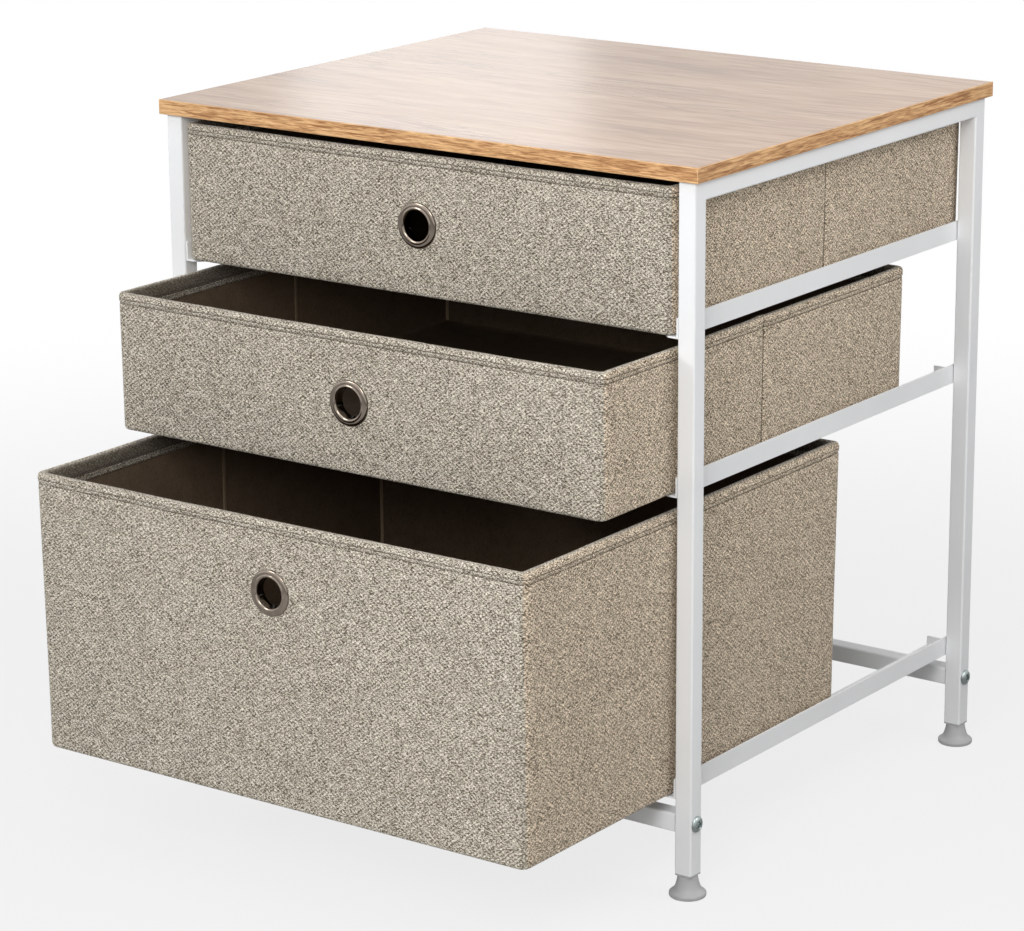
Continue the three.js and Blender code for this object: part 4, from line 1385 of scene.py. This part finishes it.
class DRESSER_OT_linings(Operator):
    """The drawers' dark linings with their bound seams, and the boards behind them"""

    bl_idname = "dresser.linings"
    bl_label = "Drawer linings"

    def execute(self, context):
        s, eyelet = context.scene.dresser_drawers, context.scene.dresser_eyelets
        for name in DRAWERS:
            drawer = Drawer(name, s, eyelet)
            self.add_lining(drawer, s, eyelet)
            self.add_tapes(drawer, s)
            for part in ("front", "rear", "left", "right", "base"):
                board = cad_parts[f"{name}_drawer_{part}_board"]
                board.data.materials[0] = made_finish("fibre", pressed_fibreboard, s)
        return {"FINISHED"}

    @staticmethod
    def add_lining(drawer, s, eyelet):
        """One closed skin, slack on its inner side: floor, wall, rim, and back down to the floor."""
        outer, inner = s.lining_inset, s.lining_inset + s.lining
        top = drawer.height - LINING_TOP

        def shape(place, outward, height, give):
            """Slack that hangs off the wall and lies a little above the floor."""
            wave = abs(noise.noise(place * LINING_WAVES + drawer.seed * 2)) * LINING_SLACK * give
            return Vector((-wave * outward.x, -wave * outward.y, wave * 0.4))

        bm = bmesh.new()
        skin = Skin(bm, drawer.centre, drawer.half, s.corner + 0.5 * MM, s.pitch * 1.6, shape)
        skin.start(LINING_BORDER, outer, 0.1)
        for scale in (0.4, 0.7, 1.0):
            skin.grow(LINING_BORDER, outer, 0, scale)
        rows = [height for height in drawer.rows() if height > inner + 3 * MM]
        skin.grow(outer + MM, outer)
        for height in (outer + MM, *rows, top):
            skin.grow(outer, height)
        for height in (top, top - LINING_HELD):
            skin.grow(inner, height)
        for height in reversed([h for h in rows if h < top - LINING_HELD - 2 * MM]):
            skin.grow(inner, height, 1)
        skin.grow(inner, inner + MM)
        skin.grow(inner + MM, inner)
        for i in range(LINING_RINGS):
            skin.grow(LINING_BORDER, inner, 0.6, 1 - 0.05 * i)
        skin.close()
        skin.cut_hole(drawer.height - eyelet.drop, eyelet.hole)
        skin.unwrap()
        node = f"{drawer.name}_drawer_lining"
        finish = made_finish("felted", felted_lining, s)
        add_piece(bm, f"sewn_{node}", finish, drawer.body, [node], 60)

    @staticmethod
    def add_tapes(drawer, s):
        """Bound seams up the corners and up the fold in the middle of each side."""
        inner = s.lining_inset + s.lining
        low, high = inner + MM, drawer.height - s.hem - s.binding - 1.2 * MM
        x, y = drawer.half.x - inner, drawer.half.y - inner
        corners = []
        for sx in SIDES.values():
            for sy in ENDS.values():
                corners.append((sx * (x - CORNER_TAPE_IN), sy * (y - CORNER_TAPE_IN), 45 * sx * sy))
        folds = [(sx * (x - FOLD_TAPE_IN), 0, 90) for sx in SIDES.values()]
        # Painted light: the corner tapes' pale tone also stands in for light coming in through the corners
        kinds = {
            "corner": (corners, s.corner_tape, s.tape_tone),
            "fold": (folds, s.fold_tape, s.fold_tape_tone),
        }
        for kind, (places, wide, tone) in kinds.items():
            bm = bmesh.new()
            for across, along, turn in places:
                middle = Vector((across, along, (low + high) / 2)) + drawer.centre
                matrix = Matrix.Translation(middle) @ Matrix.Rotation(math.radians(-turn), 4, "Z")
                size = Matrix.Diagonal((wide, s.tape, high - low, 1))
                verts = bmesh.ops.create_cube(bm, size=1, matrix=matrix @ size)["verts"]
                round_edges(bm, edges_along(verts, 2), s.tape_round)
            finish = made_finish(f"{kind}_tape", twisted_thread, tone)
            name = f"{drawer.name}_drawer_{kind}_tapes"
            add_piece(bm, name, finish, drawer.body, sharp=50)


# Eyelets

# The dome from its rim inwards, as shares of its width and of its height
DOME = [
    (1, 0.0), (1.0, 0.2), (0.985, 0.36), (0.95, 0.5), (0.89, 0.62), (0.8, 0.72), (0.68, 0.78),
    (0.56, 0.8), (0.46, 0.81), (0.41, 0.86), (0.37, 0.95), (0.32, 1.0), (0.26, 1.0), (0.19, 0.93),
    (0.12, 0.8), (0.06, 0.6), (0.02, 0.35), (0, 0.05),
]
# The barrel, the clinched washer and the dome's back in millimetres: out from the bore or from
# the rim, and down from the fabric's face
BARREL = [(0, 3), (0, 6.2), (0.3, 6.7), (1.0, 7.0), (1.9, 6.9), (2.4, 6.6), (2.5, 6.5)]
WASHER = [(-1.5, 6.4), (-1.2, 6.1), (-1.2, 5.7)]
BARREL_BACK = [(1, 5.6), (1, 0.05)]
DOME_BACK = [(-0.4, 0.05), (0, 0)]


class DRESSER_OT_eyelets(Operator):
    """The metal eyelets round the finger holes"""

    bl_idname = "dresser.eyelets"
    bl_label = "Eyelets"

    def execute(self, context):
        s = context.scene.dresser_eyelets
        finish = made_finish("nickel", polished_nickel, s)
        for name in DRAWERS:
            low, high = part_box(f"{name}_drawer_cover")
            place = Matrix.Translation(((low.x + high.x) / 2, low.y, high.z - s.drop))
            bm = bmesh.new()
            outward = Matrix.Rotation(math.pi / 2, 4, "X")
            add_turned(bm, self.profile(s), s.steps, place @ outward)
            node = f"{name}_drawer_eyelet"
            add_piece(bm, f"pressed_{node}", finish, f"{name}_drawer", [node], 50)
        return {"FINISHED"}

    @staticmethod
    def profile(s):
        """From the rim over the dome and the inner lip, down the bore, and round the washer."""
        line = [(s.bore + out * (s.rim - s.bore), up * s.crown) for out, up in DOME]
        for start, points in ((s.bore, BARREL), (s.rim, WASHER), (s.bore, BARREL_BACK), (s.rim, DOME_BACK)):
            line += [(start + out * MM, -down * MM) for out, down in points]
        return line


# Stage

# Each lamp's place, the point that it shines at, and its size
LAMPS = {
    "key": ((-2.4, -3.25, 1.95), (0, -0.2, 0.35), 0.75),
    "near": ((0.7, -1.4, 1.05), (0.1, -0.1, 0.3), 0.6),
    "side": ((0.9, 0.2, 0.9), (0.2, 0, 0.3), 0.5),
    "top": ((0, -0.7, 2.6), (0, -0.1, 0.4), 1.6),
    "gloss": ((-1.6, 2.02, 1.04), (-0.1, 0.03, 0.57), 0.44),
}
# A lamp that only glints stands this far to each side. Its Y and Z, its point, and its size follow.
GLINT_ASIDE = 0.9
GLINT = ((-1.4, 1.8), (0, -0.2, 0.35), 0.75)
WHITE = (1, 1, 1, 1)


class DRESSER_OT_stage(Operator):
    """The pale floor, the soft light and the camera"""

    bl_idname = "dresser.stage"
    bl_label = "Stage"

    def execute(self, context):
        s = context.scene.dresser_stage
        self.add_floor(s)
        self.add_world(context.scene, s)
        for name, (place, target, size) in LAMPS.items():
            lamp = self.add_lamp(name, place, target, size, getattr(s, f"{name}_power"))
            lamp.visible_glossy = name not in ("key", "near")
        for side in SIDES.values():
            place, target, size = GLINT
            place = (side * GLINT_ASIDE, *place)
            lamp = self.add_lamp(f"glint_{side}", place, target, size, s.glint_power)
            lamp.visible_diffuse = False
        self.add_camera(context.scene, s)
        context.scene.view_settings.view_transform = "Standard"
        return {"FINISHED"}

    @staticmethod
    def add_floor(s):
        """The floor keeps the object's shadow, and is otherwise plain white for the camera."""
        bm = bmesh.new()
        bmesh.ops.create_grid(bm, x_segments=8, y_segments=8, size=s.floor_half)
        mesh = bpy.data.meshes.new("floor")
        bm.to_mesh(mesh)
        bm.free()
        floor = bpy.data.objects.new("floor", mesh)
        bpy.context.scene.collection.objects.link(floor)
        finish = new_finish("floor")
        matt = finish.add("ShaderNodeBsdfDiffuse", None, {"Color": (*s.floor, 1)})
        glow = finish.add("ShaderNodeEmission", None, {"Color": WHITE, "Strength": 1.0})
        seen = finish.add("ShaderNodeLightPath", output="Is Camera Ray")
        away = finish.add("ShaderNodeVectorMath", {"operation": "LENGTH"}, {0: finish.place()}, "Value")
        white = s.floor_glow + away.between(s.floor_near, s.floor_far) * (1 - s.floor_glow)
        both = finish.add("ShaderNodeMixShader", None, {0: seen * white, 1: matt, 2: glow})
        finish.add("ShaderNodeOutputMaterial", None, {"Surface": both})
        mesh.materials.append(finish.owner)

    @staticmethod
    def add_world(scene, s):
        """White for the camera and in reflections, and dimmer as a light."""
        world = bpy.data.worlds.new("studio")
        scene.world = world
        finish = Finish(world)
        path = finish.add("ShaderNodeLightPath", output="Is Camera Ray")
        seen = path
        for ray in ("Is Glossy Ray", "Is Transmission Ray"):
            seen = seen.math("MAXIMUM", path.other(ray))
        white = finish.add("ShaderNodeBackground", None, {"Color": WHITE, "Strength": 1.0})
        light = finish.add("ShaderNodeBackground", None, {"Color": WHITE, "Strength": s.ambient})
        both = finish.add("ShaderNodeMixShader", None, {0: seen, 1: light, 2: white})
        finish.add("ShaderNodeOutputWorld", None, {"Surface": both})

    @staticmethod
    def add_lamp(name, place, target, size, power):
        lamp = bpy.data.lights.new(name, "AREA")
        lamp.shape = "SQUARE"
        lamp.size = size
        lamp.energy = power
        stand = bpy.data.objects.new(name, lamp)
        stand.location = place
        stand.rotation_euler = (Vector(target) - Vector(place)).to_track_quat("-Z", "Y").to_euler()
        stand.visible_camera = False
        bpy.context.scene.collection.objects.link(stand)
        return stand

    @staticmethod
    def add_camera(scene, s):
        camera = bpy.data.objects.new("camera", bpy.data.cameras.new("camera"))
        camera.location = s.camera_place
        tilt, roll, turn = s.camera_turn
        aim = Matrix.Rotation(turn, 3, "Z") @ Matrix.Rotation(tilt, 3, "X") @ Matrix.Rotation(roll, 3, "Z")
        camera.rotation_euler = aim.to_euler()
        camera.data.sensor_width = 36
        camera.data.lens = s.lens
        camera.data.clip_end = 100
        scene.collection.objects.link(camera)
        scene.camera = camera


# The add-on


class DRESSER_PT_pieces(Panel):
    """Lists the operators that build the dresser"""

    bl_idname = "DRESSER_PT_pieces"
    bl_label = "Fabric drawer dresser"
    bl_space_type = "VIEW_3D"
    bl_region_type = "UI"
    bl_category = "Dresser"

    def draw(self, context):
        for operator in OPERATORS:
            self.layout.operator(operator.bl_idname)
        for name in SETTINGS:
            group = getattr(context.scene, name)
            for prop in group.bl_rna.properties:
                if not prop.is_readonly and prop.identifier != "name":
                    self.layout.prop(group, prop.identifier)


SETTINGS = {
    "dresser_board": BoardSettings,
    "dresser_frame": FrameSettings,
    "dresser_drawers": DrawerSettings,
    "dresser_eyelets": EyeletSettings,
    "dresser_stage": StageSettings,
}
OPERATORS = (
    DRESSER_OT_board,
    DRESSER_OT_tubes,
    DRESSER_OT_runners,
    DRESSER_OT_feet,
    DRESSER_OT_fasteners,
    DRESSER_OT_covers,
    DRESSER_OT_linings,
    DRESSER_OT_eyelets,
    DRESSER_OT_stage,
)


def register():
    for cls in (*SETTINGS.values(), *OPERATORS, DRESSER_PT_pieces):
        bpy.utils.register_class(cls)
    for name, group in SETTINGS.items():
        setattr(bpy.types.Scene, name, PointerProperty(type=group))


def unregister():
    for name in SETTINGS:
        delattr(bpy.types.Scene, name)
    for cls in reversed((*SETTINGS.values(), *OPERATORS, DRESSER_PT_pieces)):
        bpy.utils.unregister_class(cls)


def main():
    register()
    for operator in OPERATORS:
        group, name = operator.bl_idname.split(".")
        getattr(getattr(bpy.ops, group), name)()


if __name__ == "__main__":
    main()
